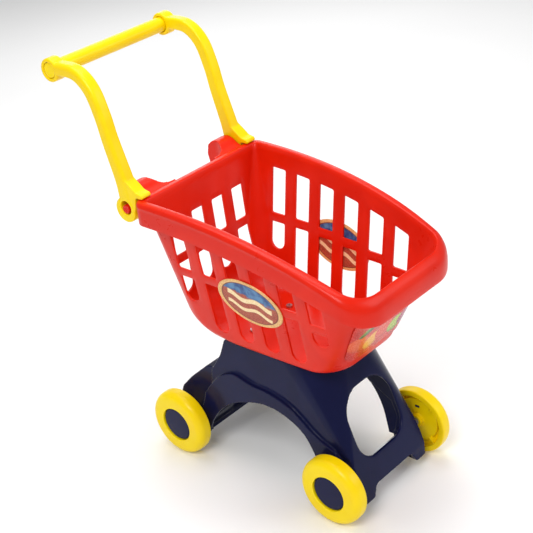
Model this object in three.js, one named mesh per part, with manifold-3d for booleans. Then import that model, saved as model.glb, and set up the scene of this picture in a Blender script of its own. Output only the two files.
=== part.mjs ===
// Toy shopping cart: slotted basket on an arched chassis, four wheels on two axles, push handle.
// Millimetres. +Z is up, the front faces -Y, left is +X. The origin is on the floor, under the middle.
import * as THREE from "three";
import { mergeVertices } from "three/addons/utils/BufferGeometryUtils.js";
import Module from "manifold-3d";

const wasm = await Module();
wasm.setup();

// ---- driving dimensions ----
const GAP = 0.3; // clearance between pieces that touch
const SIDES = [
  { name: "left", sign: 1 },
  { name: "right", sign: -1 },
];

// wheels and axles
const WHEEL_RADIUS = 45;
const WHEEL_OUTER_X = 100;
const WHEEL_INNER_X = 80;
const AXLES = [
  { name: "front", y: -168 },
  { name: "rear", y: 88 },
];
const AXLE_RADIUS = 3;
const AXLE_HALF_LENGTH = 93.5;
const BORE_RADIUS = AXLE_RADIUS + GAP;
const CAP_POCKET_RADIUS = 23.6;
const CAP_FACE_X = 98.4;
const WEB_OUTER_X = 90;

// basket: the rim's outer outline, seen from above, and the outlines of the wall below it
const RIM = { front: -234, rear: 96, frontHalf: 94, rearHalf: 112, bulgeHalf: 111, bulgeY: -110,
  frontCorner: 42, rearCorner: 19 };
const RIM_WIDTH = 12;
const SKIRT_DROP = 30;
const WALL = 2.6;
const BASE = { front: -165, rear: 75, frontHalf: 67, rearHalf: 73, bulgeHalf: 73, bulgeY: -60,
  frontCorner: 40, rearCorner: 40 };
const FLOOR_Z = 187;
const FLOOR_INSET = { front: 12, rear: 48, side: 8 };
const CREST_REAR_Z = 375.5;
const CREST_DROP = 62; // how far the rim dips from the rear to the front
const CREST_POWER = 2.25;

// slots in the basket walls
const SLOT_WIDTH = 22;
const SLOT_TOP_DROP = 26; // below the rim's crest
const BAND = 11.5; // solid band between the upper and the lower slots
const SIDE_SLOTS = [
  { y: 41, upper: 288, lower: 240 },
  { y: 1, upper: 288, lower: 205 },
  { y: -38.5, upper: 286, lower: 203 },
  { y: -78, upper: 283, lower: 201 },
  { y: -118, upper: 277, lower: 200 },
  { y: -157, upper: 267, lower: 237 },
];
const REAR_SLOTS = [-55.5, -18.5, 18.5, 55.5];
const REAR_SLOT_WIDTH = 20;
const REAR_SLOT = { top: 331, upper: 285, lower: 232 };

// handle pivot pegs on the basket's rear ears
const PIVOT = { y: 116.5, z: 356.5 };
const PEG_RADIUS = 5.6;
const PEG_END_X = 103.4;
const EAR = { inner: 63, outer: 85.5, wall: 3 };

// handle
const ARM = { inner: 87, outer: 104, half: 8, bevel: 3.2 };
const LOWER_EYE = { y: 117.5, z: 355.5, radius: 16.5, holeY: 115.6, holeZ: 359, holeRadius: 9 };
const UPPER_EYE = { y: 219, z: 517.5, radius: 15, inner: 87, outer: 103.5 };
const EYE_BEVEL = 1.2;
const GRIP_RADIUS = 9.75;
const GRIP_BORE = 7.6;
const GRIP_HALF_LENGTH = 101;

// chassis
const DECK_Z = FLOOR_Z - GAP;
const CHASSIS = { skin: 4, saddleHalf: 65, bandInner: 58, bandOuter: 70, blockHalf: 62 };
const FRONT_PANEL = { topY: -135, slope: 0.386 }; // y recedes by the slope for each mm of height
const WINDOW = { half: 44, low: 61, high: 145, lowCorner: 26, highCorner: 36 };
const REAR_WINDOW = { half: 34, low: 54, high: 98, lowCorner: 14, highCorner: 18 };
const FRONT_TRIM_Y = -154; // the front panel's outline shapes everything ahead of this
const BOSS_RADIUS = 8;

// basket screws, on the flat floor
const SCREWS = [
  { name: "front", y: -110 },
  { name: "rear", y: -10 },
];
const SCREW = { x: 35, radius: 1.8, head: 4.2, headHeight: 2.4, length: 16 };

// plates on the basket walls
const BADGE = { y: -59, z: 270, halfLong: 48.5, halfShort: 30, tilt: 8, thick: 1.4 };
// the label reaches so many columns of the wall's outline to each side, and these shares of its height
const LABEL = { reach: 5, low: 0.17, high: 0.7, thick: 0.8 };
const PLATE_GAP = 0.7;

// ---- materials ----
const plastic = (color, roughness) => new THREE.MeshStandardMaterial({ color, roughness, metalness: 0 });
const steel = new THREE.MeshStandardMaterial({ color: 0xb4b8bc, roughness: 0.35, metalness: 1 });
const RED = plastic(0xe63a26, 0.35);
const YELLOW = plastic(0xf8e106, 0.35);
const NAVY = plastic(0x22253f, 0.3);
const GREY = plastic(0x55585c, 0.5);
const PRINT = plastic(0xe9c98f, 0.45);

// ---- solids ----
function solidFrom(positions, triangles) {
  const point = (i) => new THREE.Vector3().fromArray(positions, 3 * i);
  let volume = 0;
  for (let i = 0; i < triangles.length; i += 3) {
    const [a, b, c] = [point(triangles[i]), point(triangles[i + 1]), point(triangles[i + 2])];
    volume += a.dot(b.cross(c)) / 6;
  }
  const outward = volume > 0 ? triangles : [...triangles].reverse();
  const vertProperties = new Float32Array(positions);
  const triVerts = new Uint32Array(outward);
  return new wasm.Manifold(new wasm.Mesh({ numProp: 3, vertProperties, triVerts }));
}

function solid(geometry) {
  const bare = geometry.clone();
  bare.deleteAttribute("normal");
  bare.deleteAttribute("uv");
  const merged = mergeVertices(bare, 1e-3);
  const triangles = [];
  for (let i = 0; i < merged.index.count; i += 3) {
    const [a, b, c] = [0, 1, 2].map((k) => merged.index.getX(i + k));
    if (a !== b && b !== c && c !== a) triangles.push(a, b, c);
  }
  return solidFrom(Array.from(merged.attributes.position.array), triangles);
}

function join(pieces) {
  return pieces.reduce((whole, piece) => whole.add(piece));
}

function cut(body, tools) {
  return body.subtract(join(tools));
}

function meshFrom(name, body, material) {
  const { vertProperties, triVerts } = body.getMesh();
  const geometry = new THREE.BufferGeometry();
  geometry.setAttribute("position", new THREE.Float32BufferAttribute(vertProperties, 3));
  geometry.setIndex(Array.from(triVerts));
  geometry.computeVertexNormals();
  const mesh = new THREE.Mesh(geometry, material);
  mesh.name = name;
  return mesh;
}

// A shape drawn in (y, z), extruded along X from low to high.
function prismX(shape, low, high, curveSegments = 8, bevel = 0) {
  const geometry = new THREE.ExtrudeGeometry(shape, {
    depth: high - low - 2 * bevel, curveSegments, bevelEnabled: bevel > 0, bevelThickness: bevel,
    bevelSize: bevel, bevelOffset: -bevel, bevelSegments: 1,
  });
  const axes = new THREE.Matrix4().makeBasis(
    new THREE.Vector3(0, 1, 0), new THREE.Vector3(0, 0, 1), new THREE.Vector3(1, 0, 0));
  geometry.applyMatrix4(axes);
  geometry.translate(low + bevel, 0, 0);
  return solid(geometry);
}

// The same shape on one side of the cart: from inner to outer, away from the middle.
function sidePrism(sign, shape, inner, outer, curveSegments = 8, bevel = 0) {
  return prismX(shape, Math.min(sign * inner, sign * outer), Math.max(sign * inner, sign * outer),
    curveSegments, bevel);
}

// A shape drawn in (x, z), extruded along Y from low to high.
function prismY(shape, low, high, curveSegments = 8) {
  const options = { depth: high - low, curveSegments, bevelEnabled: false };
  const geometry = new THREE.ExtrudeGeometry(shape, options);
  geometry.rotateX(Math.PI / 2);
  geometry.translate(0, high, 0);
  return solid(geometry);
}

function polygon(points) {
  return new THREE.Shape(points.map(([a, b]) => new THREE.Vector2(a, b)));
}

function circle(a, b, radius) {
  return new THREE.Shape().absarc(a, b, radius, 0, 2 * Math.PI);
}

// A rod or tube along X. Its section is a list of [radius, x] that closes on the axis or on itself.
function turnedX(profile, segments) {
  const geometry = new THREE.LatheGeometry(profile.map(([r, x]) => new THREE.Vector2(r, x)), segments);
  geometry.rotateZ(-Math.PI / 2);
  return solid(geometry);
}

function tubeProfile(bore, radius, low, high) {
  return [[bore, low], [radius, low], [radius, high], [bore, high], [bore, low]];
}

function rodProfile(radius, low, high) {
  return [[0, low], [radius, low], [radius, high], [0, high]];
}

// A round rod or boss along Z.
function rodZ(x, y, radius, low, high, segments = 16) {
  const geometry = new THREE.CylinderGeometry(radius, radius, high - low, segments);
  geometry.rotateX(Math.PI / 2);
  geometry.translate(x, y, (low + high) / 2);
  return solid(geometry);
}

function box(x, y, z, sizeX, sizeY, sizeZ) {
  return solid(new THREE.BoxGeometry(sizeX, sizeY, sizeZ).translate(x, y, z));
}

// Points along a quarter turn, from one angle to another, in degrees.
function arc(a, b, radius, from, to, steps) {
  const points = [];
  for (let i = 0; i <= steps; i++) {
    const angle = THREE.MathUtils.degToRad(from + ((to - from) * i) / steps);
    points.push([a + radius * Math.cos(angle), b + radius * Math.sin(angle)]);
  }
  return points;
}

function curveThrough(points, divisions) {
  const curve = new THREE.SplineCurve(points.map(([a, b]) => new THREE.Vector2(a, b)));
  return curve.getPoints(divisions).map((p) => [p.x, p.y]);
}

// A closed body from rings of equal length, the first and the last one filled in.
function loft(rings) {
  const count = rings[0].length;
  const positions = rings.flat(2);
  const triangles = [];
  for (let r = 0; r + 1 < rings.length; r++) {
    for (let i = 0; i < count; i++) {
      const [a, b] = [r * count + i, r * count + ((i + 1) % count)];
      triangles.push(a, b, b + count, a, b + count, a + count);
    }
  }
  for (const [start, flip] of [[0, true], [(rings.length - 1) * count, false]]) {
    const centre = positions.length / 3;
    const ring = positions.slice(3 * start, 3 * (start + count));
    for (const axis of [0, 1, 2]) {
      positions.push(ring.filter((_, k) => k % 3 === axis).reduce((s, v) => s + v, 0) / count);
    }
    for (let i = 0; i < count; i++) {
      const [a, b] = [start + i, start + ((i + 1) % count)];
      triangles.push(centre, flip ? b : a, flip ? a : b);
    }
  }
  return solidFrom(positions, triangles);
}

// A thin closed sheet from the two grids of points on its faces.
function sheet(faces) {
  const [rows, columns] = [faces[0].length, faces[0][0].length];
  const [lastRow, lastColumn] = [rows - 1, columns - 1];
  const at = (face, r, c) => (face * rows + r) * columns + c;
  const triangles = [];
  const quad = (a, b, c, d) => triangles.push(a, b, c, a, c, d);
  for (let r = 0; r < lastRow; r++) {
    for (let c = 0; c < lastColumn; c++) {
      quad(at(0, r, c), at(0, r, c + 1), at(0, r + 1, c + 1), at(0, r + 1, c));
      quad(at(1, r, c), at(1, r + 1, c), at(1, r + 1, c + 1), at(1, r, c + 1));
    }
    quad(at(0, r, 0), at(0, r + 1, 0), at(1, r + 1, 0), at(1, r, 0));
    quad(at(0, r + 1, lastColumn), at(0, r, lastColumn), at(1, r, lastColumn), at(1, r + 1, lastColumn));
  }
  for (let c = 0; c < lastColumn; c++) {
    quad(at(0, 0, c + 1), at(0, 0, c), at(1, 0, c), at(1, 0, c + 1));
    quad(at(0, lastRow, c), at(0, lastRow, c + 1), at(1, lastRow, c + 1), at(1, lastRow, c));
  }
  return solidFrom(faces.flat(3), triangles);
}

// ---- basket surface ----
function shrink(o, front, rear = front, side = front) {
  return { ...o, front: o.front + front, rear: o.rear - rear, frontHalf: o.frontHalf - side,
    rearHalf: o.rearHalf - side, bulgeHalf: o.bulgeHalf - side,
    frontCorner: Math.max(o.frontCorner - Math.min(front, side), 4),
    rearCorner: Math.max(o.rearCorner - Math.min(rear, side), 4) };
}

// The outline seen from above, counter-clockwise from the middle of the front.
function outline(o) {
  const side = new THREE.QuadraticBezierCurve(new THREE.Vector2(o.frontHalf, o.front),
    new THREE.Vector2(o.bulgeHalf, o.bulgeY), new THREE.Vector2(o.rearHalf, o.rear));
  const length = o.rear - o.front;
  const [first, last] = [o.frontCorner / length, 1 - o.rearCorner / length];
  const corner = (from, tip, to) => {
    const pull = 0.56;
    const ends = [from.clone().lerp(tip, pull), to.clone().lerp(tip, pull)];
    return new THREE.CubicBezierCurve(from, ends[0], ends[1], to);
  };
  const frontStart = new THREE.Vector2(o.frontHalf - o.frontCorner, o.front);
  const rearEnd = new THREE.Vector2(o.rearHalf - o.rearCorner, o.rear);
  const frontTurn = corner(frontStart, side.getPoint(0), side.getPoint(first));
  const rearTurn = corner(side.getPoint(last), side.getPoint(1), rearEnd);
  const half = [];
  for (let i = 0; i < 3; i++) half.push(new THREE.Vector2((frontStart.x * i) / 3, o.front));
  for (let i = 0; i < 5; i++) half.push(frontTurn.getPoint(i / 5));
  for (let i = 0; i < 8; i++) half.push(side.getPoint(first + ((last - first) * i) / 8));
  for (let i = 0; i < 4; i++) half.push(rearTurn.getPoint(i / 4));
  for (let i = 0; i <= 2; i++) half.push(new THREE.Vector2((rearEnd.x * (2 - i)) / 2, o.rear));
  const mirrored = half.slice(1, -1).reverse().map((p) => new THREE.Vector2(-p.x, p.y));
  return [...half, ...mirrored];
}

function crest(y) {
  const run = Math.max(0, (80 - y) / (80 - RIM.front));
  return CREST_REAR_Z - CREST_DROP * run ** CREST_POWER;
}

// How high the rounding between the floor and the wall reaches.
function roundingHeight(y) {
  const rear = THREE.MathUtils.smoothstep(y, -10, 65);
  const front = 1 - THREE.MathUtils.smoothstep(y, -165, -120);
  return 8 + 26 * rear + 3 * front;
}

// One skin of the wall: inset 0 is the outside, inset WALL is the inside.
function wallSkin(inset) {
  const base = shrink(BASE, inset);
  const [bottom, top] = [outline(base), outline(shrink(RIM, RIM_WIDTH - WALL + inset))];
  const floor = outline(shrink(base, FLOOR_INSET.front, FLOOR_INSET.rear, FLOOR_INSET.side));
  const low = FLOOR_Z + inset;
  const place = (i, z) => {
    const level = (z - low) / (crest(top[i].y) - low);
    return bottom[i].clone().lerp(top[i], level);
  };
  const wallRing = (level) => bottom.map((p, i) => {
    const start = low + roundingHeight(p.y);
    const z = start + (crest(top[i].y) - start) * level;
    return [...place(i, z).toArray(), z];
  });
  const roundRing = (degrees) => bottom.map((p, i) => {
    const angle = THREE.MathUtils.degToRad(degrees);
    const z = low + roundingHeight(p.y) * (1 - Math.sin(angle));
    const inward = floor[i].clone().sub(p).multiplyScalar(1 - Math.cos(angle));
    return [...place(i, z).add(inward).toArray(), z];
  });
  return { place, wallRing, roundRing };
}

const OUTER = wallSkin(0);
const INNER = wallSkin(WALL);

function rimRing(inset, drop) {
  return outline(shrink(RIM, inset)).map((p) => [p.x, p.y, crest(p.y) - drop]);
}

// How far out the wall's outer face is at a height, on the +X side.
function sideWallX(y, z) {
  const points = outline(BASE).map((_, i) => OUTER.place(i, z));
  const half = points.slice(0, points.length / 2 + 1);
  const after = half.findIndex((p, i) => i > 0 && p.y > y);
  const [a, b] = [half[after - 1], half[after]];
  return THREE.MathUtils.mapLinear(y, a.y, b.y, a.x, b.x);
}

// ---- basket ----
function basketShell() {
  const turns = [90, 60, 25];
  const levels = [0, 0.5];
  const rim = [
    [RIM_WIDTH - WALL, WALL + 0.4],
    [WALL, WALL + 0.4],
    [WALL, SKIRT_DROP],
    [0, SKIRT_DROP],
    [0, 6],
    [1.8, 1.8],
    [6, 0],
    [RIM_WIDTH - 2, 0],
    [RIM_WIDTH, 2],
  ];
  return loft([
    ...turns.map(OUTER.roundRing),
    ...levels.map(OUTER.wallRing),
    ...rim.map(([inset, drop]) => rimRing(inset, drop)),
    ...levels.toReversed().map(INNER.wallRing),
    ...turns.toReversed().map(INNER.roundRing),
  ]);
}

// A window with small corners at the top, and at the bottom either small corners or a round end.
function slotShape(centre, width, low, topLeft, topRight, roundEnd) {
  const [a, b] = [centre - width / 2, centre + width / 2];
  const shape = new THREE.Shape();
  const small = 2;
  const radius = roundEnd ? width / 2 : small;
  shape.moveTo(a, topLeft - small);
  shape.lineTo(a, low + radius);
  shape.absarc(a + radius, low + radius, radius, Math.PI, 1.5 * Math.PI, false);
  shape.absarc(b - radius, low + radius, radius, 1.5 * Math.PI, 2 * Math.PI, false);
  shape.lineTo(b, topRight - small);
  shape.lineTo(b - small, topRight);
  shape.lineTo(a + small, topLeft);
  return shape;
}

function basketSlots() {
  const tools = [];
  for (const { y, upper, lower } of SIDE_SLOTS) {
    const tops = [y - SLOT_WIDTH / 2, y + SLOT_WIDTH / 2].map((edge) => crest(edge) - SLOT_TOP_DROP);
    const rimHalf = Math.max(...outline(RIM).filter((p) => p.y < y + 30).map((p) => p.x));
    const outer = rimHalf - WALL - 3;
    for (const { sign } of SIDES) {
      tools.push(sidePrism(sign, slotShape(y, SLOT_WIDTH, upper, ...tops, false), 40, outer, 3));
      const high = upper - BAND;
      tools.push(sidePrism(sign, slotShape(y, SLOT_WIDTH, lower, high, high, true), 40, outer, 5));
    }
  }
  const { top, upper, lower } = REAR_SLOT;
  for (const x of REAR_SLOTS) {
    tools.push(prismY(slotShape(x, REAR_SLOT_WIDTH, upper, top, top, false), 50, 87, 3));
    tools.push(prismY(slotShape(x, REAR_SLOT_WIDTH, lower, upper - BAND, upper - BAND, true), 50, 87, 5));
  }
  return tools;
}

// The lug behind the rim that carries the handle's peg, hollow from below.
function ear(sign) {
  const crown = curveThrough([[91, 374], [100, 377], [108, 382], [117, 384], [127, 380.5]], 10);
  const skin = polygon([...crown, [132.5, 375], [135, 362], [132, 350], [128, 345], [94.5, 345]]);
  const hollow = polygon([[99, 340], [99, 371], [109, 378.5], [121, 379], [129.5, 373], [131, 362],
    [125, 340]]);
  const { inner, outer, wall } = EAR;
  const shell = sidePrism(sign, skin, inner, outer);
  return shell.subtract(sidePrism(sign, hollow, inner + wall, outer - wall));
}

function peg(sign) {
  return sidePrism(sign, circle(PIVOT.y, PIVOT.z, PEG_RADIUS), EAR.outer - 2.5, PEG_END_X, 7);
}

function basket() {
  const body = cut(basketShell(), basketSlots());
  const lugs = SIDES.flatMap(({ sign }) => [ear(sign), peg(sign)]);
  const holes = screwPlaces().map(({ x, y }) => rodZ(x, y, SCREW.radius + GAP, FLOOR_Z - 2, FLOOR_Z + 6));
  return cut(join([body, ...lugs]), holes);
}

// ---- plates that follow the basket's wall ----
function plate(edge, surface, thick) {
  const scales = [0.5, 1];
  const ring = (scale, lift) => edge.map(([u, v]) => surface(u * scale, v * scale, lift));
  return loft([
    ...scales.map((scale) => ring(scale, PLATE_GAP + thick)),
    ...scales.toReversed().map((scale) => ring(scale, PLATE_GAP)),
  ]);
}

function badge(sign) {
  const tilt = THREE.MathUtils.degToRad(BADGE.tilt);
  const edge = arc(0, 0, 1, 0, 348, 29).map(([u, v]) => [u * BADGE.halfLong, v * BADGE.halfShort]);
  const surface = (u, v, lift) => {
    const y = BADGE.y + u * Math.cos(tilt) - v * Math.sin(tilt);
    const z = BADGE.z + u * Math.sin(tilt) + v * Math.cos(tilt);
    return [sign * (sideWallX(y, z) + lift), y, z];
  };
  return plate(edge, surface, BADGE.thick);
}

function frontLabel() {
  const count = outline(BASE).length;
  const columns = [-LABEL.reach, -4, -3, -2, 0, 2, 3, 4, LABEL.reach];
  const levels = [0, 0.33, 0.67, 1].map((t) => THREE.MathUtils.lerp(LABEL.low, LABEL.high, t));
  const onWall = (column, z) => {
    const [whole, part] = [Math.floor(column), column - Math.floor(column)];
    const [a, b] = [whole, whole + 1].map((k) => OUTER.place((k + count) % count, z));
    return { point: a.clone().lerp(b, part), along: b.sub(a).normalize() };
  };
  const face = (lift) => levels.map((level) => columns.map((column) => {
    const z = THREE.MathUtils.lerp(FLOOR_Z, crest(RIM.front), level);
    const [before, after] = [onWall(column - 0.5, z).along, onWall(column + 0.5, z).along];
    const along = before.add(after).normalize();
    const { point } = onWall(column, z);
    return [point.x + along.y * lift, point.y - along.x * lift, z];
  }));
  return sheet([face(PLATE_GAP + LABEL.thick), face(PLATE_GAP)]);
}

// ---- screws ----
function screwPlaces() {
  return SCREWS.flatMap((s) => SIDES.map(({ name, sign }) => ({
    name: `basket_screw_${s.name}_${name}`, x: sign * SCREW.x, y: s.y,
  })));
}

function basketScrew({ x, y }) {
  const seat = FLOOR_Z + WALL + GAP;
  const top = seat + SCREW.headHeight;
  const head = rodZ(x, y, SCREW.head, seat, top, 12);
  const shank = rodZ(x, y, SCREW.radius, seat - SCREW.length, seat + 0.5, 8);
  const recess = [box(x, y, top, 4.6, 1.1, 2.4), box(x, y, top, 1.1, 4.6, 2.4)];
  return cut(join([head, shank]), recess);
}

// ---- handle ----
function handleArm(sign) {
  const line = new THREE.SplineCurve([[116, 362], [121, 392], [134, 439], [142, 472], [155, 503], [178, 520],
    [212, 520]].map(([y, z]) => new THREE.Vector2(y, z)));
  const [front, back] = [[], []];
  const steps = 13;
  for (let i = 0; i <= steps; i++) {
    const p = line.getPoint(i / steps);
    const along = line.getTangent(i / steps);
    const half = ARM.half + 2 * (1 - THREE.MathUtils.smoothstep(i / steps, 0, 0.2));
    front.push([p.x - along.y * half, p.y + along.x * half]);
    back.push([p.x + along.y * half, p.y - along.x * half]);
  }
  const { inner, outer, bevel } = ARM;
  const limb = sidePrism(sign, polygon([...front, ...back.reverse()]), inner, outer, 8, bevel);
  const [lowerRing, upperRing] = [LOWER_EYE, UPPER_EYE].map(({ y, z, radius }) => circle(y, z, radius));
  const eyes = [
    sidePrism(sign, lowerRing, inner, outer, 10, EYE_BEVEL),
    sidePrism(sign, upperRing, UPPER_EYE.inner, UPPER_EYE.outer, 10, EYE_BEVEL),
  ];
  const wing = polygon([[113, 396], [105, 387], [94, 382.5], [86, 381.5], [84, 376.6], [97, 376.2],
    [98.5, 364], [103, 350], [113, 350]]);
  const holes = [
    sidePrism(sign, circle(LOWER_EYE.holeY, LOWER_EYE.holeZ, LOWER_EYE.holeRadius), inner - 3, outer + 2, 12),
    sidePrism(sign, circle(UPPER_EYE.y, UPPER_EYE.z, GRIP_RADIUS + 0.4), UPPER_EYE.inner - 2,
      UPPER_EYE.outer + 2, 14),
  ];
  return cut(join([limb, ...eyes, sidePrism(sign, wing, inner, outer - 1, 8, 0.8)]), holes);
}

function handleGrip() {
  return turnedX(tubeProfile(GRIP_BORE, GRIP_RADIUS, -GRIP_HALF_LENGTH, GRIP_HALF_LENGTH), 24);
}

function gripPlug() {
  const face = GRIP_HALF_LENGTH + GAP;
  const spigot = GRIP_BORE - GAP;
  return turnedX([[0, face - 9], [spigot, face - 9], [spigot, face], [GRIP_RADIUS, face],
    [GRIP_RADIUS - 0.6, face + 1.1], [0, face + 1.5]], 20);
}

// ---- chassis ----
function frontPanelY(z) {
  return FRONT_PANEL.topY - FRONT_PANEL.slope * (185 - z);
}

const ARCH = [[57, 28], [47, 52], [24, 80], [-8, 100], [-58, 112], [-104, 97], [-126, 66], [-136, 24]];

// The saddle and both leg panels, seen from the side.
function saddleShape() {
  return polygon([...curveThrough(ARCH, 20), [-168, 14], [-197, 14], [frontPanelY(32), 32],
    [frontPanelY(175), 175], [-134, DECK_Z - 3], [-128, DECK_Z], [10, DECK_Z], [15, DECK_Z - 4],
    [25, 158], [41, 133], [57, 128], [88, 100], [106, 80], [110, 70], [108, 32], [100, 22], [66, 22]]);
}

// The inside of the shell: the same profile, one skin smaller, open below.
function saddleHollow() {
  return polygon([[57, 10], [-150, 10], [-168, 18], [-188, 18], [frontPanelY(36) + 4.4, 36],
    [frontPanelY(176) + 4.4, 176], [-126, DECK_Z - 4], [7, DECK_Z - 4], [11, 180], [20, 157], [36, 130],
    [55, 122.5], [84, 97], [101, 78], [105, 69], [103, 33], [98, 27], [66, 27]]);
}

// The raised band over the arch, which runs down into both legs.
function bandShape() {
  return polygon([...curveThrough(ARCH, 20), [-158, 24], [-168, 60], [-158, 84],
    ...curveThrough([[-136, 92], [-121, 101], [-92, 122], [-60, 132], [-28, 134], [-2, 139.5], [12, 136],
      [26, 127], [40, 113], [56, 92]], 18), [63, 70], [64, 28]]);
}

function bandHollow() {
  return polygon([[50, 12], [-146, 12], [-154, 60], [-146, 80], [-119, 95], [-90, 117], [-60, 127],
    [-28, 129], [-2, 134], [9, 131], [22, 123], [36, 109], [51, 90], [58, 68], [59, 26]]);
}

// Leans a corner off the front of the saddle, between its front panel and its side.
function cornerCut(sign) {
  const slice = (z) => {
    const lean = 0.659 * (z - 185);
    const line = (x) => x - 169 + lean;
    return [[24, line(24) - 60, z], [150, line(24) - 60, z], [150, line(150), z], [24, line(24), z]]
      .map(([x, y, height]) => [sign * x, y, height]);
  };
  return loft([slice(55), slice(200)]);
}

function windowShape({ half, low, high, lowCorner, highCorner }) {
  return polygon([
    ...arc(half - lowCorner, low + lowCorner, lowCorner, -90, 0, 6),
    ...arc(half - highCorner, high - highCorner, highCorner, 0, 90, 6),
    ...arc(-half + highCorner, high - highCorner, highCorner, 90, 180, 6),
    ...arc(-half + lowCorner, low + lowCorner, lowCorner, 180, 270, 6),
  ]);
}

// The front panel's outline: narrow at the top, flared feet, and a raised edge between them.
function frontOutline() {
  return polygon([[-70, 200], [-70, 100], [-63, 74], [-66, 40], [-62, 16], [-50, 13], [-44, 17], [-36, 32],
    [36, 32], [44, 17], [50, 13], [62, 16], [66, 40], [63, 74], [70, 100], [70, 200]]);
}

function axleBosses(sign) {
  return AXLES.map(({ y }) => sidePrism(sign, circle(y, WHEEL_RADIUS, BOSS_RADIUS), 44, 68, 8));
}

function chassis() {
  const { skin, saddleHalf, bandInner, bandOuter, blockHalf } = CHASSIS;
  const shell = prismX(saddleShape(), -saddleHalf, saddleHalf);
  const hollow = prismX(saddleHollow(), skin - saddleHalf, saddleHalf - skin);
  const behindBlock = polygon([[62, 10], [120, 10], [120, 140], [42, 140]]);
  const rearTrim = SIDES.map(({ sign }) => sidePrism(sign, behindBlock, blockHalf, bandOuter + 5));
  const bands = SIDES.map(({ sign }) => sidePrism(sign, bandShape(), bandInner, bandOuter, 8, 1.5));
  const bandRoom = SIDES.map(({ sign }) => sidePrism(sign, bandHollow(), bandInner - 1, bandOuter - skin));
  const outside = join([cut(shell, [...rearTrim, ...SIDES.map(({ sign }) => cornerCut(sign))]), ...bands]);
  const front = prismY(frontOutline(), -215, FRONT_TRIM_Y);
  const behind = box(0, FRONT_TRIM_Y + 150, 100, 200, 300, 240);
  const inner = cut(hollow, SIDES.map(({ sign }) => cornerCut(sign).translate([-sign * 5, 5, 0])));
  const trimmed = cut(outside.intersect(front.add(behind)), [inner, ...bandRoom]);
  const bosses = SIDES.flatMap(({ sign }) => axleBosses(sign));
  const sockets = screwPlaces().map(({ x, y }) => rodZ(x, y, 5, DECK_Z - 16, DECK_Z - 1));
  const windows = [
    prismY(windowShape(WINDOW), -200, -140, 6),
    prismY(windowShape(REAR_WINDOW), 60, 130, 6),
  ];
  const axleHoles = AXLES.map(({ y }) => prismX(circle(y, WHEEL_RADIUS, BORE_RADIUS), -90, 90));
  const pilots = screwPlaces().map(({ x, y }) => rodZ(x, y, SCREW.radius + GAP, DECK_Z - 14.5, DECK_Z + 2));
  return cut(join([trimmed, ...bosses, ...sockets]), [...windows, ...axleHoles, ...pilots]);
}

// ---- wheels, each drawn on the +X side with the axle along X ----
function wheel() {
  const shoulder = arc(35, WHEEL_OUTER_X - 10, 10, 90, 0, 3);
  const profile = [
    [BORE_RADIUS, WHEEL_INNER_X + 0.6],
    [BORE_RADIUS, WEB_OUTER_X],
    [CAP_POCKET_RADIUS, WEB_OUTER_X],
    [CAP_POCKET_RADIUS, WHEEL_OUTER_X],
    ...shoulder,
    [WHEEL_RADIUS, WHEEL_INNER_X + 2],
    [WHEEL_RADIUS - 2, WHEEL_INNER_X],
    [37.5, WHEEL_INNER_X],
    [36.5, 92],
    [30, 92],
    [30, WEB_OUTER_X - 3],
    [9, WEB_OUTER_X - 3],
    [9, WHEEL_INNER_X + 0.6],
    [BORE_RADIUS, WHEEL_INNER_X + 0.6],
  ];
  const ribs = [45, 135, 225, 315].map((turn) => rib(turn));
  return cut(join([turnedX(profile, 28), ...ribs]), tabPlaces().map(([y, z]) => box(90, y, z, 9, 7, 3.4)));
}

function rib(turn) {
  return solid(new THREE.BoxGeometry(9, 11, 2).translate(87.8, 33, 0)
    .rotateX(THREE.MathUtils.degToRad(turn)));
}

function tabPlaces() {
  return [[0, 19.5], [0, -19.5]];
}

function hubCap() {
  const back = WEB_OUTER_X + GAP;
  const [radius, skin] = [CAP_POCKET_RADIUS - GAP, 1.8];
  const cup = turnedX([[0, CAP_FACE_X], [radius - 3, CAP_FACE_X - 0.2], [radius - 0.5, CAP_FACE_X - 0.9],
    [radius, back], [radius - skin, back], [radius - skin, CAP_FACE_X - skin - 0.6],
    [0, CAP_FACE_X - skin]], 24);
  return join([cup, ...tabPlaces().map(([y, z]) => box((CAP_FACE_X - 1 + 86.5) / 2, y, z,
    CAP_FACE_X - 1 - 86.5, 6.2, 2.6))]);
}

function pushNut() {
  return turnedX([[BORE_RADIUS, 90.6], [7.5, 90.6], [7.5, 91.4], [4.4, 92.6], [BORE_RADIUS, 92.6],
    [BORE_RADIUS, 90.6]], 14);
}

function axleSpacer() {
  return turnedX(tubeProfile(BORE_RADIUS, 6, CHASSIS.bandOuter + GAP, WHEEL_INNER_X + GAP), 14);
}

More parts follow.
